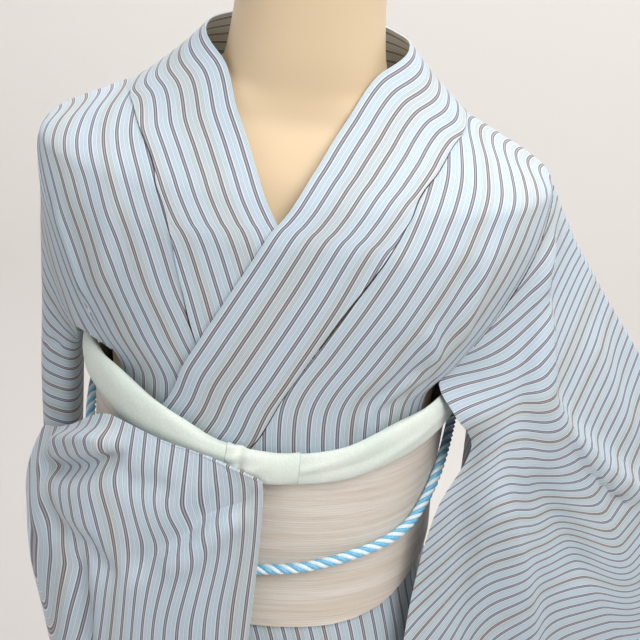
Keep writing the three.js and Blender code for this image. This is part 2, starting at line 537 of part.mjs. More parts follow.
function skirtPanel(piece) {
  const grid = spread(SKIRT_STEPS.along, (v) => spread(SKIRT_STEPS.across, (u) => {
    const turn = THREE.MathUtils.lerp(piece.from, piece.to, u);
    const tip = piece.tip * u * v;
    const z = THREE.MathUtils.lerp(SKIRT_TOP, HEM, v) + tip;
    const lift = THREE.MathUtils.lerp(piece.lift, piece.liftTo, Math.min(1, 4 * u));
    return bodyPoint(onSide(piece.side, turn), z, lift);
  }));
  return wall(grid, CLOTH, false);
}

// ---- Sleeves ----
// Shares that crowd towards both ends, so that the two folds of a flat tube come out round.
const eased = (u) => (1 - Math.cos(Math.PI * u)) / 2;

// A closed ring: down the front layer from the top fold to the lower fold, and up the back layer.
function sleeveRing(row, steps) {
  const front = new THREE.QuadraticBezierCurve3(
    new THREE.Vector3(row.topX, row.topY, row.topZ),
    new THREE.Vector3(
      2 * row.frontX - (row.topX + row.hemX) / 2,
      2 * row.frontY - (row.topY + row.hemY) / 2,
      2 * row.frontZ - (row.topZ + row.hemZ) / 2,
    ),
    new THREE.Vector3(row.hemX, row.hemY, row.hemZ),
  );
  const down = spread(steps, (u) => front.getPoint(eased(u)));
  const up = spread(steps, (u) => {
    const point = front.getPoint(eased(1 - u));
    point.y += row.depth * Math.sin(Math.PI * u) ** ROUNDED_FOLD;
    return point;
  });
  return [...down, ...up.slice(1, -1)];
}

// The ring where the left sleeve meets the body: the armhole's front edge, the free edges below it,
// its back edge.
function armholeRing(rows, side, ends, below, steps) {
  const panel = withIndex(rows);
  const outward = new THREE.Vector3(side * ARMHOLE_GAP, 0, 0);
  const edge = (row) => panelPoint(panel, side, 1, row).add(outward);
  const front = [];
  for (let row = ends.ridge; row >= ends.frontEnd; row -= 1) front.push(edge(row));
  const back = [];
  for (let row = ends.backEnd; row > ends.ridge; row -= 1) back.push(edge(row));
  const half = below.length / 2;
  const down = new THREE.CatmullRomCurve3([...front, ...below.slice(0, Math.ceil(half))]);
  const up = new THREE.CatmullRomCurve3([...below.slice(Math.floor(half)), ...back, front[0]]);
  const along = (curve) => spread(steps, (u) => curve.getPointAt(eased(u)));
  return [...along(down), ...along(up).slice(1, -1)];
}

// Rings between the given ones, point by point, along a monotone curve.
function ringsBetween(rings, stations, count) {
  const curves = rings[0].map((_, j) => tableCurve(
    rings.map((ring, i) => ({ at: stations[i], x: ring[j].x, y: ring[j].y, z: ring[j].z })),
    "at",
  ));
  return spread(count, (u) => curves.map((curve) => xyz(curve(u))));
}

// How a flat tube's wall lies behind a point of its ring: along the normal where the two layers stand
// apart, and towards the other layer where they close in at a fold, never so far that the layers meet
// inside.
function betweenLayers(normal, ring, j) {
  const folded = (2 * j) % ring.length === 0;
  const after = ring[(j + 1) % ring.length];
  const before = ring[(j - 1 + ring.length) % ring.length];
  const across = folded ? after.clone().add(before).divideScalar(2) : ring[ring.length - j];
  const reach = across.clone().sub(ring[j]);
  const gap = reach.length();
  const apart = folded ? 0 : Math.min(1, gap / APART);
  const room = gap * (folded ? FOLD_REACH : LAYER_REACH);
  return reach.normalize().lerp(normal, apart).normalize().multiplyScalar(Math.min(CLOTH, room));
}

// The front layer of a flat tube pushed out along its ridges and in along its valleys, each a soft
// line between two places given by their shares along the sleeve and across the layer.
function withFolds(rings, folds, side) {
  const steps = rings[0].length / 2;
  return rings.map((row, i) => row.map((point, j) => {
    if (j === 0 || j >= steps) return point;
    const across = row[j + 1].clone().sub(row[j - 1]);
    const along = rings[Math.min(i + 1, rings.length - 1)][j].clone().sub(rings[Math.max(i - 1, 0)][j]);
    const out = across.cross(along).normalize().multiplyScalar(-side);
    const push = folds.reduce((sum, fold) => sum + foldHeight(fold, i / (rings.length - 1), j / steps), 0);
    return point.clone().addScaledVector(out, push);
  }));
}

// A fold's height at a place: full along its middle line, and falling off to both sides and towards
// its ends.
function foldHeight(fold, along, across) {
  const line = new THREE.Vector2(fold.endAlong - fold.startAlong, fold.endAcross - fold.startAcross);
  const from = new THREE.Vector2(along - fold.startAlong, across - fold.startAcross);
  const u = THREE.MathUtils.clamp(from.dot(line) / line.lengthSq(), 0, 1);
  const off = from.sub(line.multiplyScalar(u)).length() / fold.wide;
  return fold.rise * Math.sin(Math.PI * u) ** ROUNDED_FOLD * Math.exp(-off * off);
}

const sleeveWall = (rings) => wall(rings, CLOTH, true, betweenLayers);

function leftSleeve() {
  const steps = SLEEVE_STEPS.across;
  const below = [...FURI_FRONT.map(xyz), xyz(FURI_HEM), ...FURI_BACK.map(xyz)];
  const rings = [armholeRing(BODY_LEFT, LEFT, LEFT_ARMHOLE, below, steps)];
  SLEEVE_LEFT.forEach((row) => rings.push(sleeveRing(row, steps)));
  const grid = ringsBetween(rings, [0, ...SLEEVE_LEFT.map((row) => row.at)], SLEEVE_STEPS.along);
  return sleeveWall(withFolds(grid, FOLDS_LEFT, LEFT));
}

function rightSleeve() {
  const steps = SHORT_SLEEVE_STEPS.across;
  const rings = [armholeRing(BODY_RIGHT, RIGHT, RIGHT_ARMHOLE, RIGHT_ARMPIT.map(xyz), steps)];
  SLEEVE_RIGHT.forEach((row) => rings.push(spread(2 * steps - 1, (u) => {
    const angle = u * (2 * steps - 1) * (Math.PI / steps);
    const out = Math.sign(Math.cos(angle)) * Math.abs(Math.cos(angle)) ** ROUNDED_FOLD;
    const front = Math.sign(Math.sin(angle)) * Math.abs(Math.sin(angle)) ** ROUNDED_FOLD;
    return new THREE.Vector3(
      row.x + row.outX * out + row.frontX * front,
      row.y + row.outY * out + row.frontY * front,
      row.z + row.outZ * out + row.frontZ * front,
    );
  })));
  const stations = [0, ...SLEEVE_RIGHT.map((row) => row.at)];
  return wall(ringsBetween(rings, stations, SHORT_SLEEVE_STEPS.along), CLOTH, true);
}

// The right sleeve's lower stretch: a front layer, and a back layer that stands behind it along its
// normals.
function foreSleeve() {
  const { along: count, across: steps } = SLEEVE_STEPS;
  const front = ringsBetween(
    SLEEVE_FORE.map((row) => sleeveRing(row, steps).slice(0, steps + 1)),
    SLEEVE_FORE.map((row) => row.at),
    count,
  );
  const depth = tableCurve(SLEEVE_FORE, "at");
  const rings = front.map((row, i) => {
    const back = row.map((point, j) => {
      const across = row[Math.min(j + 1, steps)].clone().sub(row[Math.max(j - 1, 0)]);
      const along = front[Math.min(i + 1, count)][j].clone().sub(front[Math.max(i - 1, 0)][j]);
      const deep = depth(i / count).depth * Math.sin(Math.PI * eased(j / steps)) ** ROUNDED_FOLD;
      return point.clone().addScaledVector(along.cross(across).normalize(), deep);
    });
    return [...row, ...back.slice(1, -1).reverse()];
  });
  return sleeveWall(withFolds(rings, FOLDS_FORE, RIGHT));
}

// ---- Belt ----
const obiEdge = tableCurve(OBI, "turn");
const foldedTurn = (turn) => (turn > 90 ? 180 - turn : turn);

function obiWrap() {
  const grid = spread(OBI_STEPS.up, (v) => spread(OBI_STEPS.round, (u) => {
    const turn = 270 - 360 * u;
    const edge = obiEdge(foldedTurn(turn));
    const z = THREE.MathUtils.lerp(edge.bottom, edge.top, v);
    return bodyPoint(turn, Math.min(z, OBI_FULL), OBI_INNER + OBI_WALL + OBI_LEAN * v).setZ(z);
  }).slice(0, -1));
  return wall(grid, OBI_WALL, true);
}

function obiDrum() {
  const { halfWidth, inner, outer, bottom, top, round, wall: thick, lean } = DRUM;
  const outline = (inset) => {
    const radius = round - inset;
    const corners = [
      [outer - round, bottom + round, -90], [outer - round, top - round, 0],
      [inner + round, top - round, 90], [inner + round, bottom + round, 180],
    ];
    return corners.flatMap(([y, z, start]) => spread(5, (u) => {
      const angle = THREE.MathUtils.degToRad(start + 90 * u);
      const height = z + radius * Math.sin(angle);
      return [y + radius * Math.cos(angle) + lean * (top - height), height];
    }));
  };
  const shape = new THREE.Shape(outline(0).map(([y, z]) => new THREE.Vector2(y, z)));
  shape.holes.push(new THREE.Path(outline(thick).map(([y, z]) => new THREE.Vector2(y, z))));
  const geometry = new THREE.ExtrudeGeometry(shape, { depth: 2 * halfWidth, bevelEnabled: false });
  geometry.applyMatrix4(new THREE.Matrix4().makeBasis(
    new THREE.Vector3(0, 1, 0), new THREE.Vector3(0, 0, 1), new THREE.Vector3(1, 0, 0),
  ));
  return geometry.translate(-halfWidth, 0, 0);
}

const obiageAt = tableCurve(OBIAGE, "turn");

function obiageRing(turn) {
  const row = obiageAt(turn);
  const inner = bodyPoint(turn, row.z, row.off).setZ(row.z);
  const out = bodyPoint(turn, row.z, row.off + 1).setZ(row.z).sub(inner).normalize();
  return spread(SCARF_STEPS.round, (u) => {
    const angle = 2 * Math.PI * u;
    return inner.clone()
      .addScaledVector(out, row.deep * Math.cos(angle))
      .add(new THREE.Vector3(0, 0, row.tall * Math.sin(angle)));
  }).slice(0, -1);
}

// The scarf runs from one side of its knot round the back to the other side.
function obiage() {
  const start = KNOT_TURNS.to + KNOT_GAP;
  const sweep = 360 - (KNOT_TURNS.to - KNOT_TURNS.from) - 2 * KNOT_GAP;
  return solid(spread(SCARF_STEPS.along, (u) => {
    const turn = start + sweep * u;
    return obiageRing(turn > 270 ? turn - 360 : turn);
  }), false);
}

function obiageKnot() {
  return solid(spread(SCARF_STEPS.knot, (u) => {
    const turn = THREE.MathUtils.lerp(KNOT_TURNS.from, KNOT_TURNS.to, u);
    const bulge = new THREE.Vector3(0, -KNOT_BULGE * Math.sin(Math.PI * u), 0);
    return obiageRing(turn).map((point) => point.add(bulge));
  }), false);
}

function cordPath() {
  const frontLeft = CORD_FRONT.map((row) => bodyPoint(row.turn, row.z, CORD_OFF));
  const mirror = (point) => new THREE.Vector3(-point.x, point.y, point.z);
  const back = CORD_BACK.map(xyz);
  const left = [...frontLeft.slice(1), ...back];
  const right = [...left.slice(0, -1)].reverse().map(mirror);
  const start = frontLeft[0].clone().add(new THREE.Vector3(CORD_KNOT + CLOSE, 0, 0));
  return new THREE.CatmullRomCurve3([start, ...left, ...right, mirror(start)]);
}

function cord() {
  const path = cordPath();
  const section = new THREE.Shape(spread(CORD_STEPS.round, (u) => new THREE.Vector2(
    CORD_RADIUS * Math.cos(2 * Math.PI * u), CORD_RADIUS * Math.sin(2 * Math.PI * u),
  )).slice(0, -1));
  return new THREE.ExtrudeGeometry(section, {
    steps: CORD_STEPS.along, extrudePath: path, bevelEnabled: false,
  });
}

function cordKnot() {
  const centre = bodyPoint(90, CORD_FRONT[0].z, CORD_OFF);
  const profile = spread(8, (u) => {
    const angle = Math.PI * u;
    return new THREE.Vector2(CORD_RADIUS * 1.45 * Math.sin(angle) ** 0.6, -CORD_KNOT * Math.cos(angle));
  });
  profile[0].x = 0;
  profile[profile.length - 1].x = 0;
  const geometry = new THREE.LatheGeometry(profile, 12).rotateZ(Math.PI / 2);
  return geometry.translate(centre.x, centre.y - CORD_RADIUS * 0.5, centre.z);
}

// ---- The form and its stand ----
function formBody() {
  return solid(spread(FORM_STEPS.up, (u) => {
    const z = THREE.MathUtils.lerp(FORM_BOTTOM, NECK_TOP, u);
    return spread(FORM_STEPS.round, (v) => sectionPoint(formSection(z), 360 * v, z)).slice(0, -1);
  }), false);
}

function turned(profile) {
  const outline = profile.map(([radius, z]) => new THREE.Vector2(radius, z));
  return new THREE.LatheGeometry(outline, FORM_STEPS.round).rotateX(Math.PI / 2);
}

const formCap = () => turned([[0, 0], [57, 0], [59, 3], [59, 9], [54, 13], [0, 13]])
  .translate(0, 4, NECK_TOP + CLOSE);
const formPole = () => turned([
  [0, BASE_HEIGHT + CLOSE], [POLE_RADIUS, BASE_HEIGHT + CLOSE],
  [POLE_RADIUS, FORM_BOTTOM - CLOSE], [0, FORM_BOTTOM - CLOSE],
]);
const formBase = () => turned([
  [0, 0], [BASE_RADIUS, 0], [BASE_RADIUS, BASE_HEIGHT - BASE_BEVEL],
  [BASE_RADIUS - BASE_BEVEL, BASE_HEIGHT], [0, BASE_HEIGHT],
]);

// ---- Materials ----
const finish = (color, roughness, metalness) => new THREE.MeshStandardMaterial({
  color, roughness, metalness,
});
const kimonoCloth = () => finish(0xb9cad3, 0.8, 0);
const obiCloth = () => finish(0xe9dfd0, 0.7, 0);
const scarfCloth = () => finish(0xd3e2da, 0.85, 0);
const cordSilk = () => finish(0x7fc0dd, 0.45, 0);
const formSkin = () => finish(0xefe0bf, 0.6, 0);
const standMetal = () => finish(0xd8d8d6, 0.35, 0.8);

// ---- Assembly ----
const part = new THREE.Group();

function add(name, geometry, material) {
  const mesh = new THREE.Mesh(geometry, material);
  mesh.name = name;
  part.add(mesh);
}

add("body_left", bodyPanel(BODY_LEFT, LEFT), kimonoCloth());
add("body_right", bodyPanel(BODY_RIGHT, RIGHT), kimonoCloth());
add("collar", collarBand(), kimonoCloth());
SKIRT.forEach((piece) => add(piece.name, skirtPanel(piece), kimonoCloth()));
add("sleeve_left", leftSleeve(), kimonoCloth());
add("sleeve_right", rightSleeve(), kimonoCloth());
add("sleeve_right_fore", foreSleeve(), kimonoCloth());
add("obi", obiWrap(), obiCloth());
add("obi_drum", obiDrum(), obiCloth());
add("obiage", obiage(), scarfCloth());
add("obiage_knot", obiageKnot(), scarfCloth());
add("obijime", cord(), cordSilk());
add("obijime_knot", cordKnot(), cordSilk());
add("form", formBody(), formSkin());
add("form_cap", formCap(), standMetal());
add("form_pole", formPole(), standMetal());
add("form_base", formBase(), standMetal());

export default part;
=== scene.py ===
"""Visual model of a kimono with its belt, worn on a limbless dress form.

Lengths in the tables are millimetres. The cloth lies on one body surface, given by level sections.
The tables and surfaces are those of the solids; the shells here are finer and carry the folds.
"""
import math

import bpy
import numpy as np
from mathutils import Matrix, Vector


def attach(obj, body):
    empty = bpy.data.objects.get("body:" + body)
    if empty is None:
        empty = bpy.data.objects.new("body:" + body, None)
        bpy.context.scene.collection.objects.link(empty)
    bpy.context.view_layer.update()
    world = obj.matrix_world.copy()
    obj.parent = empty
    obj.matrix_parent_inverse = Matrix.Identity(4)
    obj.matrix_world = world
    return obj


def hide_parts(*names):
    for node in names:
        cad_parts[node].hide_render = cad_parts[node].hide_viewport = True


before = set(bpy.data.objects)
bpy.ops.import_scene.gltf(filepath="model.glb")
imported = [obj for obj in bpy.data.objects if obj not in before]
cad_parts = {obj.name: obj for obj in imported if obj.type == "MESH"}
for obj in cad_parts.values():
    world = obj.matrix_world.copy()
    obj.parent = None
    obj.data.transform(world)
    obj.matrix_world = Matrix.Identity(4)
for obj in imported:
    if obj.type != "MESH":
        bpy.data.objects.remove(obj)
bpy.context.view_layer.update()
scene = bpy.context.scene

MM = 0.001
REPEAT = 11.4  # one repeat of the stripes, across the cloth
THIN = 1.0  # cloth
BAND = 2.4  # folded collar
OBI_WALL = 2.8
OBI_INNER = 7.4  # the belt's inner face, from the body surface
OBI_SOLID = 3  # from the belt's inner face to its outer face
OBI_LEAN = 1.5  # how much further out the belt's upper edge stands
OBI_FULL = 1075  # height above which the belt no longer widens with the body
BODY_TOP = 1367  # upper end of the body surface
SEAM = 0.8
PANEL_WIDTH = 120
CLOSE = 0.3  # gap between pieces that touch
ROUND = 2 / 2.3  # exponent of the body's rounded sections
ROUNDED_FOLD = 0.7  # exponent of a flat tube's section, which makes its two folds round
SLEEVE_STEPS = 110  # points across each layer of a sleeve
SEWN_SHARE = 0.12  # stretch of the left sleeve along which its folds run out towards the armhole seam
LEFT, RIGHT = 1, -1
SKIRT_TOP, HEM = 905, 30
FORM_BOTTOM, NECK_TOP = 790, 1480
FURI_HEM = (154, -102, 800)
ARMHOLES = {LEFT: (6, 12, 16), RIGHT: (6, 13, 17)}  # rows of each panel at the armhole's front, top and back
DRUM = {"half": 150, "inner": 123.8, "outer": 186, "bottom": 852, "top": 1098, "round": 26, "lean": 0.062}
EDGE_WALL = (0.45, 0.85)  # shares of a wall's thickness at a free edge, and one point in from it
FOLD_BLEND = 6  # points over which a front layer's folds die away behind its two edges
ROLL_FROM, ROLL_GAP = 96.3, 17.6  # the scarf's roll: where it starts, and the gap that its knot fills
KNOT_TURNS = (78.8, 96.2)
ROLL_SWELL, KNOT_SWELL = 1.03, 1.04
KNOT_BULGE, KNOT_CREASE = 3, 2.6  # how far the knot stands forward, and the depth of the crease across it
WAVES = 14  # sine waves that add up to the creases of a padded roll
CORD_RADIUS = 4.2
CORD_KNOT = 9  # half length of the cord's knot
PLY = 2.15  # radius of one ply of the cord, and of the helix it follows
PLY_SEAT = 0.98  # share of that radius at which the plies press on each other
PLY_PITCH = 24  # length of one turn of the twist
BINDING_SWELL = 1.45  # the cord's knot, in radii of the cord
WINDINGS = 62  # wave number of the thread that binds it


def table(columns, *rows):
    """Rows with named columns, as {column: array}."""
    return {name: np.array([row[k] for row in rows]) for k, name in enumerate(columns.split())}


# ---- Tables, the same as the solids' ----
# Level sections of the body surface and of the form: half width, depth before and behind the axis, and
# the axis's place along Y.
SECTIONS = table(
    "z half front back axis",
    (20, 148, 112, 112, 0),
    (300, 151, 117, 118, 0),
    (600, 160, 126, 130, 0),
    (800, 163, 131, 138, 0),
    (870, 154, 129, 132, 0),
    (925, 141, 127, 122, 0),
    (1000, 136.5, 126, 118, 0),
    (1075, 137.5, 125, 113, 0),
    (1112, 143, 125, 112, 1),
    (1145, 170, 128, 112, 5),
    (1186, 193, 130, 112, 10),
    (1240, 207, 125, 111, 15),
    (1268, 205, 114, 106, 17),
    (1291, 168, 97, 97, 17),
    (1309, 133, 80, 86, 17),
    (1325, 114, 64, 74, 17),
    (1340, 98, 50, 60, 17),
    (1367, 74, 30, 30, 17),
)
FORM = table(
    "z half front back axis",
    (790, 150, 120, 124, 0),
    (850, 150, 122, 126, 0),
    (925, 139.8, 125.8, 120.8, 0),
    (1000, 135.3, 124.8, 116.8, 0),
    (1075, 135, 122, 112, 0),
    (1141, 146, 121, 106, 5),
    (1200, 152, 119, 104, 11),
    (1235, 170, 112, 102, 15),
    (1258, 188, 100, 97, 17),
    (1280, 172, 88, 90, 17),
    (1300, 138, 74, 80, 17),
    (1320, 98, 60, 68, 16),
    (1342, 65, 56, 60, 15),
    (1370, 60, 57, 57, 14),
    (1400, 57.5, 57, 57, 12),
    (1450, 57, 57, 57, 7),
    (1480, 58, 58, 58, 4),
)
# Body panels from the waist fold over the shoulder to the back, at their inner (in) and sleeve (out)
# edges: turn round the body from the piece's own side, height, and how far the cloth stands off.
PANEL_BACK = (
    (-42, 1302, 1.4, -12, 1252, 1.4),
    (-68, 1289, 1.4, -20, 1222, 1.4),
    (-89.9, 1280.5, 1.4, -26, 1185, 1.4),
    (-89.9, 1200, 1.4, -30, 1128, 3),
    (-89.9, 1110, 1.4, -29, 1096, 1.4),
    (-89.9, 1050, 1.4, -16, 1050, 1.4),
    (-89.9, 1000, 2, -0.2, 1000, 2),
    (-89.9, 935, 3.6, -0.2, 945, 3.6),
    (-89.9, 866, 5, -0.2, 866, 5),
)
BODY_LEFT = table(
    "inTurn inZ inLift outTurn outZ outLift",
    (146, 862, 8, 0.2, 866, 5.1),
    (143, 893, 8.2, 0.2, 900, 5.1),
    (132, 928, 5.85, 0.2, 945, 3.6),
    (112, 1000, 5.4, 4, 1010, 2),
    (98, 1047, 5.4, 18, 1064, 1.4),
    (91.4, 1077, 5.4, 29, 1098, 1.4),
    (83.9, 1140, 5.4, 31, 1126, 3),
    (76.6, 1198, 5.4, 29, 1158, 1.4),
    (68.9, 1249, 4.6, 25, 1194, 1.4),
    (63.6, 1276, 3, 20, 1227, 1.4),
    (50, 1294, 2, 12, 1253, 1.4),
    (26, 1308, 1.4, 6, 1262, 1.4),
    (0, 1312, 1.4, 0, 1268, 1.4),
    *PANEL_BACK,
)
BODY_RIGHT = table(
    "inTurn inZ inLift outTurn outZ outLift",
    (62, 868, 5.15, 0.2, 866, 5.1),
    (70, 903, 5.2, 0.2, 903, 5.1),
    (84, 912, 2.4, 0.2, 935, 3.6),
    (104, 1000, 1.4, 4, 1005, 2),
    (94, 1047, 1.4, 22, 1060, 1.4),
    (86, 1095, 1.4, 37, 1098, 1.4),
    (79, 1135, 1.4, 39, 1124, 3),
    (75, 1170, 1.4, 38, 1148, 2),
    (73.2, 1205, 1.4, 36, 1176, 1.4),
    (70.3, 1244, 1.4, 33, 1208, 1.4),
    (63.6, 1277, 1.4, 26, 1238, 1.4),
    (46, 1297, 1.4, 15, 1257, 1.4),
    (22, 1307, 1.4, 7, 1263, 1.4),
    (0, 1309, 1.4, 0, 1268, 1.4),
    *PANEL_BACK,
)
COLLAR = table(
    "side edgeTurn edgeZ edgeLift seamTurn seamZ seamLift",
    (-1, 107, 1135, 3.2, 84, 1110, 3.2),
    (-1, 100, 1168, 3.2, 77, 1150, 3.2),
    (-1, 94.2, 1215, 3.2, 73.2, 1205, 3.2),
    (-1, 90.1, 1256, 3.2, 70.3, 1244, 3.2),
    (-1, 84.3, 1291, 3.2, 63.6, 1277, 3.2),
    (-1, 71, 1323, 4.6, 46, 1297, 3.2),
    (-1, 51, 1350, 5, 22, 1307, 3.2),
    (-1, 0, 1364, 4, 0, 1309, 3.2),
    (-1, -38, 1356, 12, -42, 1302, 3.2),
    (-1, -66, 1344, 25, -68, 1291, 3.2),
    (-1, -90, 1335, 34, -90, 1283, 3.2),
    (1, -66, 1344, 25, -68, 1291, 3.2),
    (1, -38, 1356, 12, -42, 1302, 3.2),
    (1, 0, 1364, 4, 0, 1312, 3.2),
    (1, 49, 1353, 5, 26, 1308, 3.2),
    (1, 72.8, 1324, 4.6, 50, 1294, 3.8),
    (1, 85.7, 1287, 6.2, 63.6, 1276, 4.8),
    (1, 90.1, 1257, 6.9, 68.9, 1249, 6),
    (1, 94.7, 1218, 7, 77, 1198, 7),
    (1, 102.3, 1168, 7, 83.9, 1140, 7),
    (1, 116, 1109, 6.9, 91.4, 1077, 6.9),
    (1, 128, 1066, 6.7, 98, 1047, 6.7),
)
SKIRT = table(
    "name side from to lift liftTo tip",
    ("skirt_back_left", 1, -89.95, -0.1, 1.4, 1.4, 0),
    ("skirt_back_right", -1, -89.95, -0.1, 1.4, 1.4, 0),
    ("skirt_front_right", -1, 0.1, 76, 1.4, 1.4, 4),
    ("okumi_right", -1, 76.3, 132, 1.4, 1.4, 10),
    ("skirt_front_left", 1, 0.1, 84, 1.4, 3.6, 3),
    ("okumi_left", 1, 84.3, 146, 3.6, 3.6, 14),
)
SLEEVE_LEFT = table(
    "at topX topY topZ frontX frontY frontZ hemX hemY hemZ depth",
    (0.2, 231, 20, 1222, 192, -82, 1070, 190, -92, 788, 92),
    (0.4, 266, 26, 1172, 232, -72, 1000, 222, -68, 740, 60),
    (0.6, 305, 32, 1119, 270, -55, 940, 252, -44, 682, 44),
    (0.8, 345, 38, 1064, 308, -34, 870, 280, -14, 620, 34),
    (1, 386, 44, 1008, 346, -12, 800, 304, 20, 562, 26),
)
FURI_FRONT = table(
    "x y z",
    (152, -84, 1104),
    (170, -72, 1070),
    (150, -90, 1020),
    (141, -98, 960),
    (138, -108, 890),
    (142, -112, 840),
)
FURI_BACK = table(
    "x y z",
    (162, -84, 840),
    (168, -42, 890),
    (171, -4, 960),
    (172, 32, 1020),
    (170, 56, 1070),
    (165, 70, 1106),
)
SLEEVE_RIGHT = table(
    "at x y z outX outY outZ frontX frontY frontZ",
    (0.36, -184, 6, 1156, -20, 4, 55, 6, -52, 0),
    (0.6, -184, 8, 1096, -19, 4, 10, 4, -36, 0),
    (0.82, -183, 2, 1056, -18, 4, 3, 1, -26, 0),
    (1, -181, 2, 985, -17, 4, 0, 1, -24, 0),
)
SLEEVE_FORE = table(
    "at topX topY topZ frontX frontY frontZ hemX hemY hemZ depth",
    (0, -190, -34, 1012, -202, -47, 962, -193, -44, 912, 34),
    (0.18, -160, -84, 1046, -180, -112, 945, -162, -90, 848, 46),
    (0.4, -114, -124, 1088, -130, -156, 930, -138, -104, 640, 40),
    (0.7, -56, -148, 1083, -62, -171, 900, -74, -138, 596, 20),
    (1, 9, -152, 1064, 11, -159.6, 930, -4, -152, 578, 8.9),
)
OBI = table(
    "turn top bottom",
    (-90, 1102, 972),
    (-45, 1098, 966),
    (0, 1088, 951),
    (28, 1078, 934),
    (45, 1069, 920),
    (66, 1058, 913),
    (90, 1054, 912),
)
OBIAGE = table(
    "turn z tall deep off",
    (-90, 1118, 13, 6, 15),
    (-45, 1113, 13, 6, 15),
    (0, 1103, 13, 6, 14.5),
    (28, 1096, 16, 6.5, 15),
    (45, 1089, 17.5, 7, 15),
    (68, 1074, 14.5, 7, 15),
    (83, 1070, 14, 7, 15),
    (98, 1072, 15, 7, 15),
    (110, 1081, 18, 7, 15.4),
    (128, 1094, 20, 7.5, 15.6),
    (142, 1101, 18, 7, 15.4),
    (180, 1103, 13, 6, 14.5),
    (225, 1113, 13, 6, 15),
    (270, 1118, 13, 6, 15),
)
CORD_FRONT = table(
    "turn z",
    (90, 972),
    (75, 977),
    (60, 985),
    (45, 991),
    (34, 998),
    (26, 1010),
    (18, 1024),
    (6, 1036),
)
CORD_BACK = table(
    "x y z",
    (160, 60, 1046),
    (162, 104, 1047),
    (158, 134, 1047),
    (142, 143, 1047),
    (70, 143, 1047),
    (0, 143, 1047),
)
RIGHT_ARMPIT = table(
    "x y z",
    (-156, -40, 1124),
    (-164, 0, 1122),
    (-163, 34, 1128),
)
# Number of the stripe that runs through each place of a sleeve's front layer, by shares along the
# sleeve ("at", one for each row) and across it, from its upper fold to its lower one.
STRIPE_SHARES = (0, 0.15, 0.3, 0.45, 0.6, 0.8, 1)
STRIPES_LEFT = {
    "at": (0, 0.2, 0.4, 0.6, 0.8, 1),
    "number": (
        (-9, -7.5, -5, 2, 8.5, 17.5, 22.5),
        (-4, -3.5, -2, 4.5, 13, 22, 26.5),
        (4, 4.5, 6, 13, 22, 28.5, 31.5),
        (11, 11.5, 12.5, 21.5, 29, 34, 36),
        (17, 17.5, 19.5, 29.5, 35, 38.5, 40),
        (23, 24.5, 29.5, 36.5, 40, 42, 43),
    ),
}
STRIPES_FORE = {
    "at": (0, 0.2, 0.4, 0.55, 0.7, 0.85, 1),
    "number": (
        (-14, -14.5, -15, -15.5, -15.5, -14.5, -14.5),
        (-12, -12.5, -14, -15, -15, -13, -12),
        (-8, -8, -9.5, -11.5, -11, -10, -9.5),
        (-5, -5.5, -7, -7.5, -7.5, -7.5, -7.5),
        (-2.5, -2.5, -4, -3.5, -4, -4.5, -4.5),
        (0.5, 0, -0.5, 0, -0.5, -1.5, -1.5),
        (3.5, 3.5, 3.5, 3.5, 3.5, 2, 1.5),
    ),
}


def fold(rise, wide, narrow, *line, fade=0.25):
    """A fold of the cloth: how far it stands out (or in), its reach to the two sides of a line of
    places, and the share of that line over which it dies away at each end."""
    return {"rise": rise, "wide": wide, "narrow": narrow, "line": line, "fade": fade}


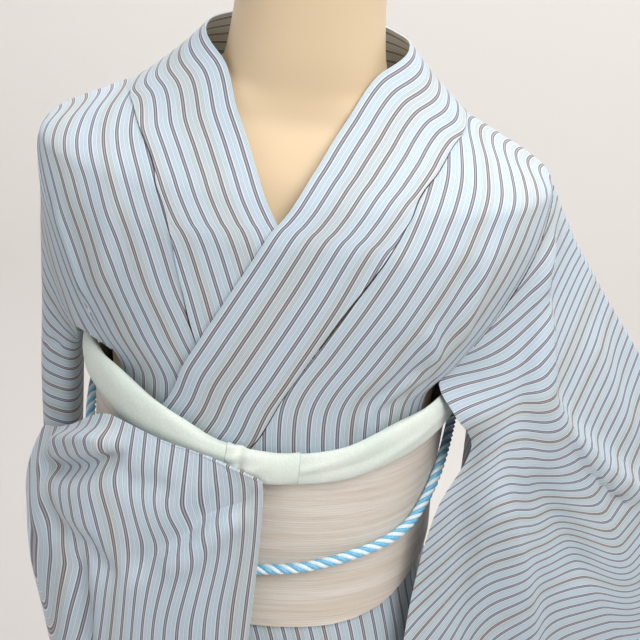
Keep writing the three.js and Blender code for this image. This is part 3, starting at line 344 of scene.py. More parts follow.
FOLDS = {
    "body_left": (
        fold(3, 7, 7, (164, -60, 1262), (156, -78, 1230), (150, -86, 1194), (147, -90, 1158)),
        fold(-2, 12, 8, (150, -86, 1245), (144, -94, 1205), (138, -98, 1160)),
        fold(-3, 12, 5, (129, -95, 1155), (108, -105, 1142), (87, -112, 1123), (79, -115, 1106)),
        fold(-2, 7, 5, (138, -82, 1141), (117, -94, 1126), (95, -106, 1112), (86, -109, 1098)),
        fold(3, 10, 5, (118, -105, 1195), (126, -98, 1172), (134, -91, 1150)),
        fold(1.5, 16, 10, (97, -98, 1257), (96, -110, 1213), (95, -114, 1172)),
        fold(2, 14, 8, (60, 112, 1240), (64, 114, 1180), (72, 113, 1120)),
        fold(-2.5, 12, 6, (128, 92, 1200), (112, 104, 1150), (92, 112, 1110)),
    ),
    "body_right": (
        fold(1.8, 14, 8, (-128, -55, 1290), (-128, -86, 1254), (-131, -94, 1207), (-136, -89, 1160)),
        fold(-1.2, 10, 7, (-99, -89, 1267), (-88, -106, 1227), (-76, -114, 1190)),
        fold(2.5, 12, 6, (-178, -60, 1240), (-160, -76, 1195), (-146, -84, 1150)),
        fold(2, 14, 8, (-60, 112, 1240), (-64, 114, 1180), (-72, 113, 1120)),
        fold(-2.5, 12, 6, (-128, 92, 1200), (-112, 104, 1150), (-92, 112, 1110)),
    ),
    "sleeve_left": (
        fold(10, 26, 8, (200, 10, 1260), (208, -24, 1220), (214, -34, 1170), (226, -51, 1113),
             (246, -42, 1079), (283, -20, 1041), (322, -3, 1007), (352, 10, 980), fade=0.15),
        fold(-3, 12, 8, (196, -20, 1230), (200, -34, 1189), (202, -50, 1153), (204, -67, 1116),
             (207, -74, 1083)),
        fold(-9, 16, 8, (236, -47, 1086), (264, -32, 1047), (295, -19, 1015), (330, -2, 985)),
        fold(8, 24, 12, (176, -76, 1075), (199, -88, 1033), (226, -80, 961), (246, -74, 895),
             (262, -64, 820)),
        fold(-8, 22, 12, (216, -66, 1059), (262, -52, 985), (300, -36, 915)),
        fold(3, 20, 12, (252, 10, 1156), (288, 1, 1089), (318, 4, 1040)),
        fold(-3, 16, 10, (160, -92, 1060), (176, -100, 980), (190, -100, 880)),
    ),
    "sleeve_left_back": (
        fold(4, 22, 12, (200, 70, 1190), (230, 60, 1080), (250, 40, 960), (262, 20, 840)),
        fold(-4, 18, 12, (220, 66, 1170), (262, 50, 1070), (300, 36, 960)),
    ),
    "sleeve_right": (
        fold(-3, 6, 4, (-196, -14, 1086), (-186, -26, 1089), (-176, -26, 1086)),
    ),
    "sleeve_right_fore": (
        fold(-12, 13, 5, (-186, -70, 1000), (-159, -110, 1026), (-137, -132, 1044), (-110, -144, 1064),
             (-96, -148, 1072), fade=0.2),
        fold(9, 9, 8, (-178, -74, 1020), (-145, -115, 1054), (-121, -134, 1070), (-100, -144, 1078)),
        fold(-3, 12, 8, (-106, -150, 1049), (-89, -156, 1050), (-73, -159, 1051), (-54, -159, 1047)),
        fold(-10, 20, 7, (10, -154, 1062), (-16, -157, 1039), (-32, -160, 1026), (-42, -162, 1009),
             (-62, -164, 993), (-78, -165, 973), (-92, -164, 958), fade=0.2),
        fold(6, 12, 9, (6, -156, 1040), (-14, -159, 1021), (-30, -161, 1005), (-42, -164, 988),
             (-64, -165, 968)),
        fold(-7, 13, 9, (-175, -108, 987), (-150, -139, 985), (-126, -154, 983), (-110, -160, 970),
             (-89, -164, 955)),
        fold(-9, 14, 6, (-136, -150, 985), (-130, -154, 960), (-124, -157, 920), (-122, -156, 860)),
        fold(2.5, 18, 14, (-30, -166, 980), (-34, -168, 900), (-40, -168, 800)),
        fold(3, 18, 12, (-80, -162, 900), (-84, -158, 800), (-90, -150, 700)),
    ),
}


# ---- Curves ----
def monotone(keys, values):
    """Monotone cubic curve through rows of values."""
    keys = np.asarray(keys, float)
    values = np.asarray(values, float)
    steps = np.diff(keys)
    rises = np.diff(values, axis=0) / steps[:, None]
    slopes = np.zeros_like(values)
    slopes[0] = rises[0]
    slopes[-1] = rises[-1]
    for i in range(1, len(keys) - 1):
        a = 2 * steps[i] + steps[i - 1]
        b = steps[i] + 2 * steps[i - 1]
        same = rises[i - 1] * rises[i] > 0
        low = np.where(same, rises[i - 1], 1)
        high = np.where(same, rises[i], 1)
        slopes[i] = np.where(same, (a + b) / (a / low + b / high), 0)

    def at(key):
        key = np.asarray(key, float)
        i = np.clip(np.searchsorted(keys, key, side="left") - 1, 0, len(keys) - 2)
        span = (keys[i + 1] - keys[i])[..., None]
        u = np.clip((key[..., None] - keys[i][..., None]) / span, 0, 1)
        return (
            (2 * u**3 - 3 * u**2 + 1) * values[i]
            + (u**3 - 2 * u**2 + u) * slopes[i] * span
            + (3 * u**2 - 2 * u**3) * values[i + 1]
            + (u**3 - u**2) * slopes[i + 1] * span
        )

    return at


def columns(source, *names):
    return np.stack([source[name] for name in names], -1).astype(float)


def catmull(points, count, spacing=lambda u: u):
    """Centripetal Catmull-Rom curve, at even or spaced steps of its length."""
    points = np.asarray(points, float)
    ends = [2 * points[0] - points[1], 2 * points[-1] - points[-2]]
    p = np.vstack([ends[0], points, ends[1]])
    fine = []
    for k in range(len(points) - 1):
        q = p[k : k + 4]
        d = np.sqrt(np.maximum(np.linalg.norm(np.diff(q, axis=0), axis=1), 1e-9))
        t1 = ((q[1] - q[0]) / d[0] - (q[2] - q[0]) / (d[0] + d[1]) + (q[2] - q[1]) / d[1]) * d[1]
        t2 = ((q[2] - q[1]) / d[1] - (q[3] - q[1]) / (d[1] + d[2]) + (q[3] - q[2]) / d[2]) * d[1]
        u = np.linspace(0, 1, 40, endpoint=k == len(points) - 2)[:, None]
        square = -3 * q[1] + 3 * q[2] - 2 * t1 - t2
        cube = 2 * q[1] - 2 * q[2] + t1 + t2
        fine.append(q[1] + t1 * u + square * u**2 + cube * u**3)
    return even(np.vstack(fine), count, spacing)


def even(points, count, spacing=lambda u: u):
    """The polyline again with count + 1 points at even or spaced steps."""
    run = run_of(points)
    at = spacing(np.linspace(0, 1, count + 1)) * run[-1]
    return np.stack([np.interp(at, run, points[:, k]) for k in range(3)], -1)


def run_of(points):
    """Length along a polyline at each of its points."""
    return np.concatenate([[0], np.cumsum(np.linalg.norm(np.diff(points, axis=0), axis=1))])


def unit(vectors):
    return vectors / np.linalg.norm(vectors, axis=-1, keepdims=True)


def circle(sides):
    return 2 * math.pi * np.arange(sides) / sides


def lerp(a, b, u):
    return a + (b - a) * u


def smooth(u):
    u = np.clip(u, 0, 1)
    return u * u * (3 - 2 * u)


# ---- The body surface ----
body_section = monotone(SECTIONS["z"], columns(SECTIONS, "half", "front", "back", "axis"))
form_section = monotone(FORM["z"], columns(FORM, "half", "front", "back", "axis"))


def section_point(section, turn, z):
    s = section(z)
    angle = np.radians(turn)
    across, along = np.cos(angle), np.sin(angle)
    depth = np.where(along >= 0, s[..., 1], s[..., 2])
    x = s[..., 0] * np.sign(across) * np.abs(across) ** ROUND
    y = s[..., 3] - depth * np.sign(along) * np.abs(along) ** ROUND
    return np.stack([x, y, np.broadcast_to(z, x.shape)], -1)


def body_point(turn, z, lift):
    turn, z, lift = np.broadcast_arrays(*(np.asarray(v, float) for v in (turn, z, lift)))
    point = section_point(body_section, turn, z)
    around = section_point(body_section, turn - 0.5, z) - section_point(body_section, turn + 0.5, z)
    above = section_point(body_section, turn, np.minimum(z + 1, BODY_TOP))
    below = section_point(body_section, turn, z - 1)
    return point - unit(np.cross(above - below, around)) * lift[..., None]


def on_side(side, turn):
    return turn if side == LEFT else 180 - turn


# ---- Folds and cloth shells ----
def grid_normals(grid, ring):
    """Normals that face away from the middle of each ring, or from the upright axis."""
    if ring:
        across = np.roll(grid, -1, 1) - np.roll(grid, 1, 1)
    else:
        across = np.gradient(grid, axis=1)
    along = np.gradient(grid, axis=0)
    normals = np.cross(across, along)
    normals /= np.linalg.norm(normals, axis=-1, keepdims=True) + 1e-9
    middle = grid.mean(1, keepdims=True) if ring else grid * np.array([0, 0, 1])
    sign = 1 if np.sum((grid - middle) * normals) > 0 else -1
    return normals * sign, sign


def crease(points, normals, line, rise, wide, narrow, fade):
    """Offset of a ridge (rise > 0) or trough along a line: wide on one side of it, narrow on the other."""
    line = np.asarray(line, float)
    lengths = np.linalg.norm(np.diff(line, axis=0), axis=1)
    run = np.concatenate([[0], np.cumsum(lengths)])
    best = np.full(points.shape[:-1], 1e9)
    place = np.zeros_like(best)
    side = np.zeros_like(best)
    for k, length in enumerate(lengths):
        tangent = (line[k + 1] - line[k]) / length
        t = np.clip((points - line[k]) @ tangent, 0, length)
        away = points - line[k] - t[..., None] * tangent
        far = np.linalg.norm(away, axis=-1)
        near = far < best
        best = np.where(near, far, best)
        place = np.where(near, run[k] + t, place)
        side = np.where(near, np.sum(np.cross(tangent, normals) * away, -1), side)
    share = place / run[-1]
    ends = smooth(share / fade) * smooth((1 - share) / fade)
    width = np.where(side > 0, wide, narrow)
    return rise * np.exp(-((best / width) ** 2)) * ends


def folded(grid, ring, lines, weight=1):
    """The grid moved along its normals by its creases, in the table's order."""
    for row in lines:
        normals, _ = grid_normals(grid, ring)
        offset = crease(grid, normals, **row)
        grid = grid + normals * (offset * weight)[..., None]
    return grid


def arc_uv(grid, ring, from_last=False):
    """Cloth coordinates: along each row from its first or last point, and down the rows."""
    closed = np.concatenate([grid, grid[:, :1]], 1) if ring else grid
    steps = np.linalg.norm(np.diff(closed, axis=1), axis=-1)
    u = np.concatenate([np.zeros((len(grid), 1)), np.cumsum(steps, 1)], 1)
    if from_last:
        u = u[:, -1:] - u
    rows = np.linalg.norm(np.diff(closed, axis=0), axis=-1)
    v = np.concatenate([np.zeros((1, closed.shape[1])), np.cumsum(rows, 0)], 0)
    return np.stack([u, v], -1)


def placed(name, data):
    piece = bpy.data.objects.new(name, data)
    scene.collection.objects.link(piece)
    return piece


def new_piece(name, vertices, faces, material, nodes=(), uv=None, sharp=60):
    mesh = bpy.data.meshes.new(name)
    mesh.from_pydata((vertices * MM).tolist(), [], faces)
    if uv is not None:
        layer = mesh.uv_layers.new(name="cloth")
        layer.data.foreach_set("uv", np.asarray(uv, np.float32).ravel())
    mesh.polygons.foreach_set("use_smooth", np.ones(len(mesh.polygons), bool))
    mesh.set_sharp_from_angle(angle=math.radians(sharp))
    mesh.validate()
    piece = placed(name, mesh)
    mesh.materials.append(material)
    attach(piece, "root")
    if nodes:
        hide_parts(*nodes)
    return piece


def shell(name, grid, uv, thickness, material, slot, ring=False, nodes=()):
    """A closed thin cloth: the outer grid, and an inner one that draws in to it at the free edges."""
    rows, width = grid.shape[:2]
    normals, sign = grid_normals(grid, ring)
    down = np.minimum(np.arange(rows), np.arange(rows)[::-1])[:, None]
    aside = np.minimum(np.arange(width), np.arange(width)[::-1])[None, :]
    edge = np.minimum(down, width if ring else aside)
    depth = thickness * np.where(edge == 0, EDGE_WALL[0], np.where(edge == 1, EDGE_WALL[1], 1.0))
    inner = grid - normals * depth[..., None]
    vertices = np.concatenate([grid.reshape(-1, 3), inner.reshape(-1, 3)])
    count = rows * width
    spans = width if ring else width - 1
    i, j = (a.ravel() for a in np.meshgrid(np.arange(rows - 1), np.arange(spans), indexing="ij"))
    k = (j + 1) % width
    corners = np.stack([i * width + j, i * width + k, (i + 1) * width + k, (i + 1) * width + j], -1)
    steps = ((0, 0), (0, 1), (1, 1), (1, 0))
    cells = np.stack([np.stack([i + a, j + b], -1) for a, b in steps], 1)
    faces, places = [corners, corners[:, ::-1] + count], [cells, cells[:, ::-1]]
    rims = [(np.full(spans, row), np.arange(spans), (0, 1), row == 0) for row in (0, rows - 1)]
    if not ring:
        lines = np.arange(rows - 1)
        rims += [(lines, np.full(rows - 1, k), (1, 0), k > 0) for k in (0, width - 1)]
    for i, j, step, turned in rims:
        here = np.stack([i, j], -1)
        there = here + step
        a, b = (at[:, 0] * width + at[:, 1] % width for at in (here, there))
        rim = np.stack([a, b, b + count, a + count], -1)
        cell = np.stack([here, there, there, here], 1)
        faces.append(rim[:, ::-1] if turned else rim)
        places.append(cell[:, ::-1] if turned else cell)
    faces, places = np.concatenate(faces), np.concatenate(places)
    if sign > 0:
        faces, places = faces[:, ::-1], places[:, ::-1]
    loops = uv[places[..., 0], places[..., 1]] / REPEAT
    return new_piece(name, vertices, faces.tolist(), material, nodes, loops, 50)


def rings_between(rings, stations, count):
    rings = np.asarray(rings)
    curve = monotone(stations, rings.reshape(len(rings), -1))
    return curve(np.linspace(0, 1, count + 1)).reshape(count + 1, -1, 3)


# ---- Cloth pieces: the same surfaces as the solids', finer ----
PANEL_EDGES = ("inTurn", "inZ", "inLift", "outTurn", "outZ", "outLift")


def body_panel(source, side, rows=200, width=96):
    edges = columns(source, *PANEL_EDGES)
    curve = monotone(np.arange(len(edges)), edges)
    at = curve(np.linspace(0, len(edges) - 1, rows + 1))[:, None, :]
    gap = SEAM / PANEL_WIDTH
    u = np.linspace(gap, 1 - gap, width + 1)[None, :]
    turn, z = (lerp(at[..., k], at[..., k + 3], u) for k in (0, 1))
    lift = lerp(at[..., 2], at[..., 5], u**3)
    return body_point(on_side(side, turn), z, lift)


def panel_edge(source, side, row):
    edges = columns(source, *PANEL_EDGES)
    at = monotone(np.arange(len(edges)), edges)(np.asarray(row, float))
    return body_point(on_side(side, at[..., 3]), at[..., 4], at[..., 5])


def collar_band(rows=260, width=18):
    left = COLLAR["side"] == LEFT
    edges = columns(COLLAR, "edgeTurn", "edgeZ", "edgeLift", "seamTurn", "seamZ", "seamLift")
    for k in (0, 3):
        edges[:, k] = np.where(left, edges[:, k] + 360, 180 - edges[:, k])
    at = monotone(np.arange(len(edges)), edges)(np.linspace(0, len(edges) - 1, rows + 1))[:, None, :]
    u = np.linspace(0, 1, width + 1)[None, :]
    return body_point(*(lerp(at[..., k], at[..., k + 3], u) for k in range(3)))


def skirt_panel(k, rows=110, width=48):
    row = {name: SKIRT[name][k] for name in SKIRT}
    u = np.linspace(0, 1, width + 1)[None, :]
    v = np.linspace(0, 1, rows + 1)[:, None]
    turn = lerp(row["from"], row["to"], u)
    z = lerp(SKIRT_TOP, HEM, v) + row["tip"] * u * v
    lift = lerp(row["lift"], row["liftTo"], np.minimum(1, 4 * u))
    return body_point(on_side(row["side"], turn), z, lift)


def eased(u):
    return (1 - np.cos(math.pi * u)) / 2


def sleeve_ring(row, steps):
    """A closed ring: down the front layer from the top fold to the lower fold, and up the back layer."""
    top, through, hem = (np.array([row[k + axis] for axis in "XYZ"], float) for k in ("top", "front", "hem"))
    control = 2 * through - (top + hem) / 2
    u = eased(np.linspace(0, 1, steps + 1))[:, None]
    down = top * (1 - u) ** 2 + 2 * control * u * (1 - u) + hem * u**2
    up = down[::-1][1:-1].copy()
    up[:, 1] += row["depth"] * np.sin(math.pi * np.arange(1, steps) / steps) ** ROUNDED_FOLD
    return np.vstack([down, up])


def armhole_ring(source, side, ends, below, steps):
    """The ring where a sleeve meets the body: along the armhole, and through the places below it."""
    front_end, ridge, back_end = ends
    outward = np.array([side * SEAM, 0, 0])
    front = panel_edge(source, side, np.arange(ridge, front_end - 1, -1)) + outward
    back = panel_edge(source, side, np.arange(back_end, ridge, -1)) + outward
    half = len(below) / 2
    down = catmull(np.vstack([front, below[: math.ceil(half)]]), steps, eased)
    up = catmull(np.vstack([below[math.floor(half) :], back, front[:1]]), steps, eased)
    return np.vstack([down, up[1:-1]])


def rows_of(source):
    return [{name: source[name][k] for name in source} for k in range(len(next(iter(source.values()))))]


def left_sleeve(count=96, steps=SLEEVE_STEPS):
    below = np.vstack([columns(FURI_FRONT, "x", "y", "z"), [FURI_HEM], columns(FURI_BACK, "x", "y", "z")])
    rings = [armhole_ring(BODY_LEFT, LEFT, ARMHOLES[LEFT], below, steps)]
    rings += [sleeve_ring(row, steps) for row in rows_of(SLEEVE_LEFT)]
    return rings_between(rings, [0, *SLEEVE_LEFT["at"]], count)


def right_sleeve(count=90, steps=50):
    armpit = columns(RIGHT_ARMPIT, "x", "y", "z")
    rings = [armhole_ring(BODY_RIGHT, RIGHT, ARMHOLES[RIGHT], armpit, steps)]
    angle = np.arange(2 * steps) * (math.pi / steps)
    out, front = (np.sign(v) * np.abs(v) ** ROUNDED_FOLD for v in (np.cos(angle), np.sin(angle)))
    for row in rows_of(SLEEVE_RIGHT):
        middle, outs, fronts = (
            np.array([row[k] for k in names.split()], float)
            for names in ("x y z", "outX outY outZ", "frontX frontY frontZ")
        )
        rings.append(middle + outs * out[:, None] + fronts * front[:, None])
    return rings_between(rings, [0, *SLEEVE_RIGHT["at"]], count)


def fore_sleeve(count=120, steps=SLEEVE_STEPS):
    """The stretch across the belt: a front layer, and a back layer behind it along its normals."""
    front = [sleeve_ring(row, steps)[: steps + 1] for row in rows_of(SLEEVE_FORE)]
    front = rings_between(front, SLEEVE_FORE["at"], count)
    depth = monotone(SLEEVE_FORE["at"], columns(SLEEVE_FORE, "depth"))(np.linspace(0, 1, count + 1))
    normals = unit(np.cross(np.gradient(front, axis=0), np.gradient(front, axis=1)))
    profile = np.sin(math.pi * eased(np.linspace(0, 1, steps + 1))) ** ROUNDED_FOLD
    back = front + normals * (depth * profile[None])[..., None]
    return np.concatenate([front, back[:, ::-1][:, 1:-1]], 1)


obi_edge = monotone(OBI["turn"], columns(OBI, "top", "bottom"))
obiage_at = monotone(OBIAGE["turn"], columns(OBIAGE, "z", "tall", "deep", "off"))


def obi_wrap(rows=44, width=420):
    turn = (270 - 360 * np.arange(width) / width)[None, :]
    edge = obi_edge(np.where(turn > 90, 180 - turn, turn))
    v = np.linspace(0, 1, rows + 1)[:, None]
    z = lerp(edge[..., 1], edge[..., 0], v)
    grid = body_point(turn, np.minimum(z, OBI_FULL), OBI_INNER + OBI_SOLID + OBI_LEAN * v)
    grid[..., 2] = z
    return grid


def drum_grid(rows=60):
    """The bow: a rounded loop, drawn out across the back."""
    outline = []
    for y_name, z_name, start in (
        ("outer", "bottom", -90),
        ("outer", "top", 0),
        ("inner", "top", 90),
        ("inner", "bottom", 180),
    ):
        y = DRUM[y_name] + (DRUM["round"] if y_name == "inner" else -DRUM["round"])
        z = DRUM[z_name] + (DRUM["round"] if z_name == "bottom" else -DRUM["round"])
        for angle in np.radians(start + np.linspace(0, 90, 12)):
            height = z + DRUM["round"] * math.sin(angle)
            lean = DRUM["lean"] * (DRUM["top"] - height)
            outline.append((0, y + DRUM["round"] * math.cos(angle) + lean, height))
    loop = even(np.array(outline + outline[:1]), 150)[:-1]
    x = np.linspace(-DRUM["half"], DRUM["half"], rows + 1)
    return loop[None] + np.stack([x, 0 * x, 0 * x], -1)[:, None]


def scarf_ring(turn, swell, sides=40):
    row = obiage_at(turn)
    inner, outer = (body_point(turn, row[..., 0], row[..., 3] + k) for k in (0, 1))
    inner[..., 2] = outer[..., 2] = row[..., 0]
    out = unit(outer - inner)
    angle = circle(sides)
    return (
        inner[:, None]
        + out[:, None] * (row[:, None, 2] * swell * np.cos(angle))[..., None]
        + np.array([0, 0, 1]) * (row[:, None, 1] * swell * np.sin(angle))[..., None]
    )


def tube(name, rings, material, nodes=()):
    """A closed solid through rings of points, with a fan of triangles at each end, faces outward."""
    count, sides = rings.shape[:2]
    i, j = (a.ravel() for a in np.meshgrid(np.arange(count - 1), np.arange(sides), indexing="ij"))
    k, n = (j + 1) % sides, i + 1
    faces = [np.stack([i * sides + j, i * sides + k, n * sides + k, n * sides + j], -1)]
    vertices = np.vstack([rings.reshape(-1, 3), rings[0].mean(0), rings[-1].mean(0)])
    a = np.arange(sides)
    b = (a + 1) % sides
    first, last = count * sides, count * sides + 1
    faces.append(np.stack([b, a, np.full(sides, first), b], -1))
    end = (count - 1) * sides
    faces.append(np.stack([end + a, end + b, np.full(sides, last), end + a], -1))
    quads = np.concatenate(faces)
    v = vertices[quads]
    volume = np.sum(v[:, 0] * np.cross(v[:, 1], v[:, 2])) + np.sum(v[:, 0] * np.cross(v[:, 2], v[:, 3]))
    polygons = [list(dict.fromkeys(q)) for q in (quads if volume > 0 else quads[:, ::-1]).tolist()]
    return new_piece(name, vertices, polygons, material, nodes)


def lathe(name, profile, material, slot, centre=(0, 0, 0), sides=96, axis="Z", nodes=()):
    angle = circle(sides)
    rings = np.array([[(r * math.cos(a), r * math.sin(a), z) for a in angle] for r, z in profile])
    if axis == "X":
        rings = rings[..., [2, 0, 1]]
    return tube(name, rings + np.array(centre, float), material, nodes)


# ---- The view: the upper half of the garment, from above and in front ----
YAW, PITCH, ROLL, FOCUS = -0.03851913, -0.49072238, 0.10994470, 1558.39945
SENSOR, PICTURE = 36, 640  # width of the camera's sensor, and of the picture that FOCUS is given for
EYE = np.array([0.07814562, -1.14713022, 1.74220697])
FORWARD = np.array([math.sin(YAW) * math.cos(PITCH), math.cos(YAW) * math.cos(PITCH), math.sin(PITCH)])
LEVEL = np.array([math.cos(YAW), -math.sin(YAW), 0.0])
RIGHTWARD = LEVEL * math.cos(ROLL) + np.cross(LEVEL, FORWARD) * math.sin(ROLL)
UPWARD = -LEVEL * math.sin(ROLL) + np.cross(LEVEL, FORWARD) * math.cos(ROLL)


# ---- Materials ----
def linear(r, g, b):
    return tuple(((c / 255 + 0.055) / 1.055) ** 2.4 if c > 10 else c / 3295 for c in (r, g, b)) + (1.0,)


class Nodes:
    """A material's node tree, built by short calls."""

    def __init__(self, name, roughness, sheen=0.0, sheen_roughness=0.5, metallic=0.0, specular=0.5):
        self.material = bpy.data.materials.new(name)
        self.material.use_nodes = True
        self.tree = self.material.node_tree
        self.sockets = self.tree.nodes["Principled BSDF"].inputs
        self.sockets["Roughness"].default_value = roughness
        self.sockets["Sheen Weight"].default_value = sheen
        self.sockets["Sheen Roughness"].default_value = sheen_roughness
        self.sockets["Metallic"].default_value = metallic
        self.sockets["Specular IOR Level"].default_value = specular

    def add(self, kind, values=None, **inputs):
        node = self.tree.nodes.new("ShaderNode" + kind)
        for key, value in (values or {}).items():
            setattr(node, key, value)
        for key, value in inputs.items():
            numbered = key[0] == "_" and key[1:].isdigit()
            socket = node.inputs[int(key[1:]) if numbered else key.replace("_", " ")]
            if isinstance(value, bpy.types.NodeSocket):
                self.tree.links.new(value, socket)
            else:
                socket.default_value = value
        return node

    def place(self, kind="Object"):
        return self.add("TexCoord").outputs[kind]

    def math(self, operation, *values):
        inputs = {f"_{k}": value for k, value in enumerate(values)}
        return self.add("Math", {"operation": operation}, **inputs).outputs[0]

    def times(self, a, b):
        return self.math("MULTIPLY", a, b)

    def ramp(self, factor, stops):
        node = self.add("ValToRGB", Fac=factor)
        elements = node.color_ramp.elements
        while len(elements) < len(stops):
            elements.new(0.5)
        for element, (place, colour) in zip(elements, stops):
            element.position = place
            element.color = colour
        return node.outputs["Color"]

    def noise(self, vector, scale, detail=3.0, rough=0.55):
        return self.add("TexNoise", Vector=vector, Scale=scale, Detail=detail, Roughness=rough).outputs[0]

    def mix(self, factor, a, b, blend="MIX"):
        return self.add("MixRGB", {"blend_type": blend}, Fac=factor, Color1=a, Color2=b).outputs[0]

    def bump(self, height, strength, distance, under=None):
        inputs = {"Height": height, "Strength": strength, "Distance": distance}
        if under is not None:
            inputs["Normal"] = under
        return self.add("Bump", **inputs).outputs[0]

    def finish(self, colour, normal=None):
        self.tree.links.new(colour, self.sockets["Base Color"])
        if normal is not None:
            self.tree.links.new(normal, self.sockets["Normal"])
        return self.material


GROUND = linear(184, 204, 212)
PIN = linear(222, 233, 239)
WHITE = linear(240, 245, 247)
PLUM = linear(116, 105, 112)
BETWEEN = linear(178, 178, 186)
PURE = (1, 1, 1, 1)
CLOTH_TONE = (0.86, 0.87, 0.915, 1)
BELT_TONE = (0.89, 0.9, 0.915, 1)
WARP_THREAD, WEFT_THREAD = 1.05, 1.3  # spacing of the weave's threads
RIB = 0.0022  # spacing of the belt's ribs, metres


def striped_cloth():
    """Pairs of plum lines with white borders on pale blue and white pinstripes, in cloth coordinates."""
    n = Nodes("striped_cloth", 0.62, sheen=0.18, sheen_roughness=0.4, specular=0.35)
    parts = n.add("SeparateXYZ", Vector=n.place("UV"))
    across, along = (parts.outputs[k] for k in (0, 1))
    from_pair = n.math("ABSOLUTE", n.math("SUBTRACT", n.math("FRACT", across), 0.5))
    place = n.times(from_pair, 2.0)
    half = REPEAT / 2
    stops = [  # millimetres from the middle of a pair
        (0.0, BETWEEN), (0.40, BETWEEN), (0.62, PLUM), (1.22, PLUM), (1.5, GROUND), (1.75, WHITE),
        (2.35, WHITE), (2.6, GROUND), (2.95, GROUND), (3.15, PIN), (3.45, PIN), (3.65, GROUND),
        (4.0, GROUND), (4.2, PIN), (4.5, PIN), (4.7, GROUND), (5.05, GROUND), (5.3, PIN), (half, PIN),
    ]
    stripes = n.ramp(place, [(mm / half, colour) for mm, colour in stops])
    number = n.math("FLOOR", across)
    chance = n.add("TexWhiteNoise", {"noise_dimensions": "1D"}, W=number).outputs["Value"]
    warm = [(0.75, linear(255, 250, 243)), (1.0, linear(252, 245, 236))]
    brown = n.ramp(chance, [(0.0, PURE), (0.6, PURE), *warm])
    colour = n.mix(1.0, stripes, brown, "MULTIPLY")
    space = n.place()
    cloud = n.ramp(n.noise(space, 9.0, 2.0), [(0.3, linear(247, 249, 251)), (0.7, PURE)])
    colour = n.mix(1.0, colour, cloud, "MULTIPLY")
    threads = n.add("CombineXYZ", X=n.times(across, 9.0), Y=n.times(along, 0.7))
    slub = n.ramp(n.noise(threads.outputs[0], 4.0, 2.0), [(0.35, linear(214, 220, 224)), (0.65, PURE)])
    colour = n.mix(0.22, colour, slub, "MULTIPLY")
    warp = n.math("SINE", n.times(across, 2 * math.pi * REPEAT / WARP_THREAD))
    weft = n.math("SINE", n.times(along, 2 * math.pi * REPEAT / WEFT_THREAD))
    weave = n.bump(n.math("ADD", warp, n.times(weft, 0.6)), 0.25, 0.0002)
    rippled = n.bump(n.noise(space, 60.0, 3.0), 0.12, 0.002, weave)
    colour = n.mix(1.0, colour, CLOTH_TONE, "MULTIPLY")
    return n.finish(colour, rippled)


def obi_cloth():
    """Silk in cream with level ribs, fine threads and soft darker bands."""
    n = Nodes("obi_cloth", 0.6, sheen=0.15, sheen_roughness=0.5, specular=0.35)
    parts = n.add("SeparateXYZ", Vector=n.place())
    level = parts.outputs[2]

    def stretched(*scales):
        scaled = {axis: n.times(part, k) for axis, part, k in zip("XYZ", parts.outputs, scales)}
        return n.add("CombineXYZ", **scaled).outputs[0]

    threads = n.noise(stretched(18.0, 18.0, 700.0), 1.0, 3.0, 0.7)
    ground = [(0.25, linear(222, 209, 195)), (0.5, linear(236, 226, 214)), (0.75, linear(244, 237, 228))]
    ground = n.ramp(threads, ground)
    bands = n.noise(stretched(6.0, 0.0, 120.0), 1.0, 2.0, 0.6)
    bands = n.ramp(bands, [(0.42, PURE), (0.6, linear(243, 239, 233))])
    colour = n.mix(1.0, ground, bands, "MULTIPLY")
    colour = n.mix(1.0, colour, BELT_TONE, "MULTIPLY")
    ribs = n.math("SINE", n.times(level, 2 * math.pi / RIB))
    normal = n.bump(n.math("ADD", n.times(ribs, 0.25), threads), 0.35, 0.0006)
    return n.finish(colour, normal)


def scarf_cloth():
    n = Nodes("scarf_cloth", 0.75, sheen=0.35, sheen_roughness=0.5, specular=0.25)
    space = n.place()
    fine = n.noise(space, 700.0, 2.0)
    soft = n.ramp(n.noise(space, 22.0, 3.0), [(0.3, linear(218, 228, 220)), (0.7, linear(233, 239, 232))])
    grain = n.ramp(fine, [(0.35, linear(212, 222, 214)), (0.65, PURE)])
    colour = n.mix(0.25, soft, grain, "MULTIPLY")
    normal = n.bump(fine, 0.3, 0.0005, n.bump(n.noise(space, 45.0, 3.0), 0.25, 0.004))
    return n.finish(colour, normal)


def cord_silk(name, light, dark):
    n = Nodes(name, 0.38, sheen=0.2, sheen_roughness=0.3, specular=0.5)
    space = n.place()
    fibre = n.noise(space, 900.0, 2.0)
    return n.finish(n.ramp(fibre, [(0.3, dark), (0.7, light)]), n.bump(fibre, 0.3, 0.0004))


def plain(name, roughness, patches, tones, grain=None, **look):
    """Paint, skin or metal: two tones in soft patches, and a fine grain."""
    n = Nodes(name, roughness, **look)
    space = n.place()
    tone = n.ramp(n.noise(space, *patches), tones)
    return n.finish(tone, grain and n.bump(n.noise(space, grain[0], 3.0), *grain[1:]))


cloth = striped_cloth()
belt = obi_cloth()
scarf = scarf_cloth()
skin_tones = [(0.35, linear(226, 201, 165)), (0.65, linear(230, 206, 172))]
skin = plain("form_skin", 0.42, (6.0, 2.0), skin_tones, (380.0, 0.08, 0.0006), specular=0.4)
metal_tones = [(0.3, linear(196, 196, 195)), (0.7, linear(214, 214, 212))]
metal = plain("stand_metal", 0.35, (60.0, 4.0), metal_tones, (500.0, 0.06, 0.0004), metallic=0.75)
wall_tones = [(0.3, linear(232, 228, 225)), (0.7, linear(235, 231, 228))]
wall_paint = plain("backdrop_paint", 0.9, (1.2, 1.0), wall_tones, specular=0.1)
blue_silk = cord_silk("cord_blue", linear(140, 205, 236), linear(92, 170, 214))
white_silk = cord_silk("cord_white", linear(246, 252, 254), linear(205, 232, 243))
teal_thread = cord_silk("cord_binding", linear(70, 160, 184), linear(40, 118, 142))

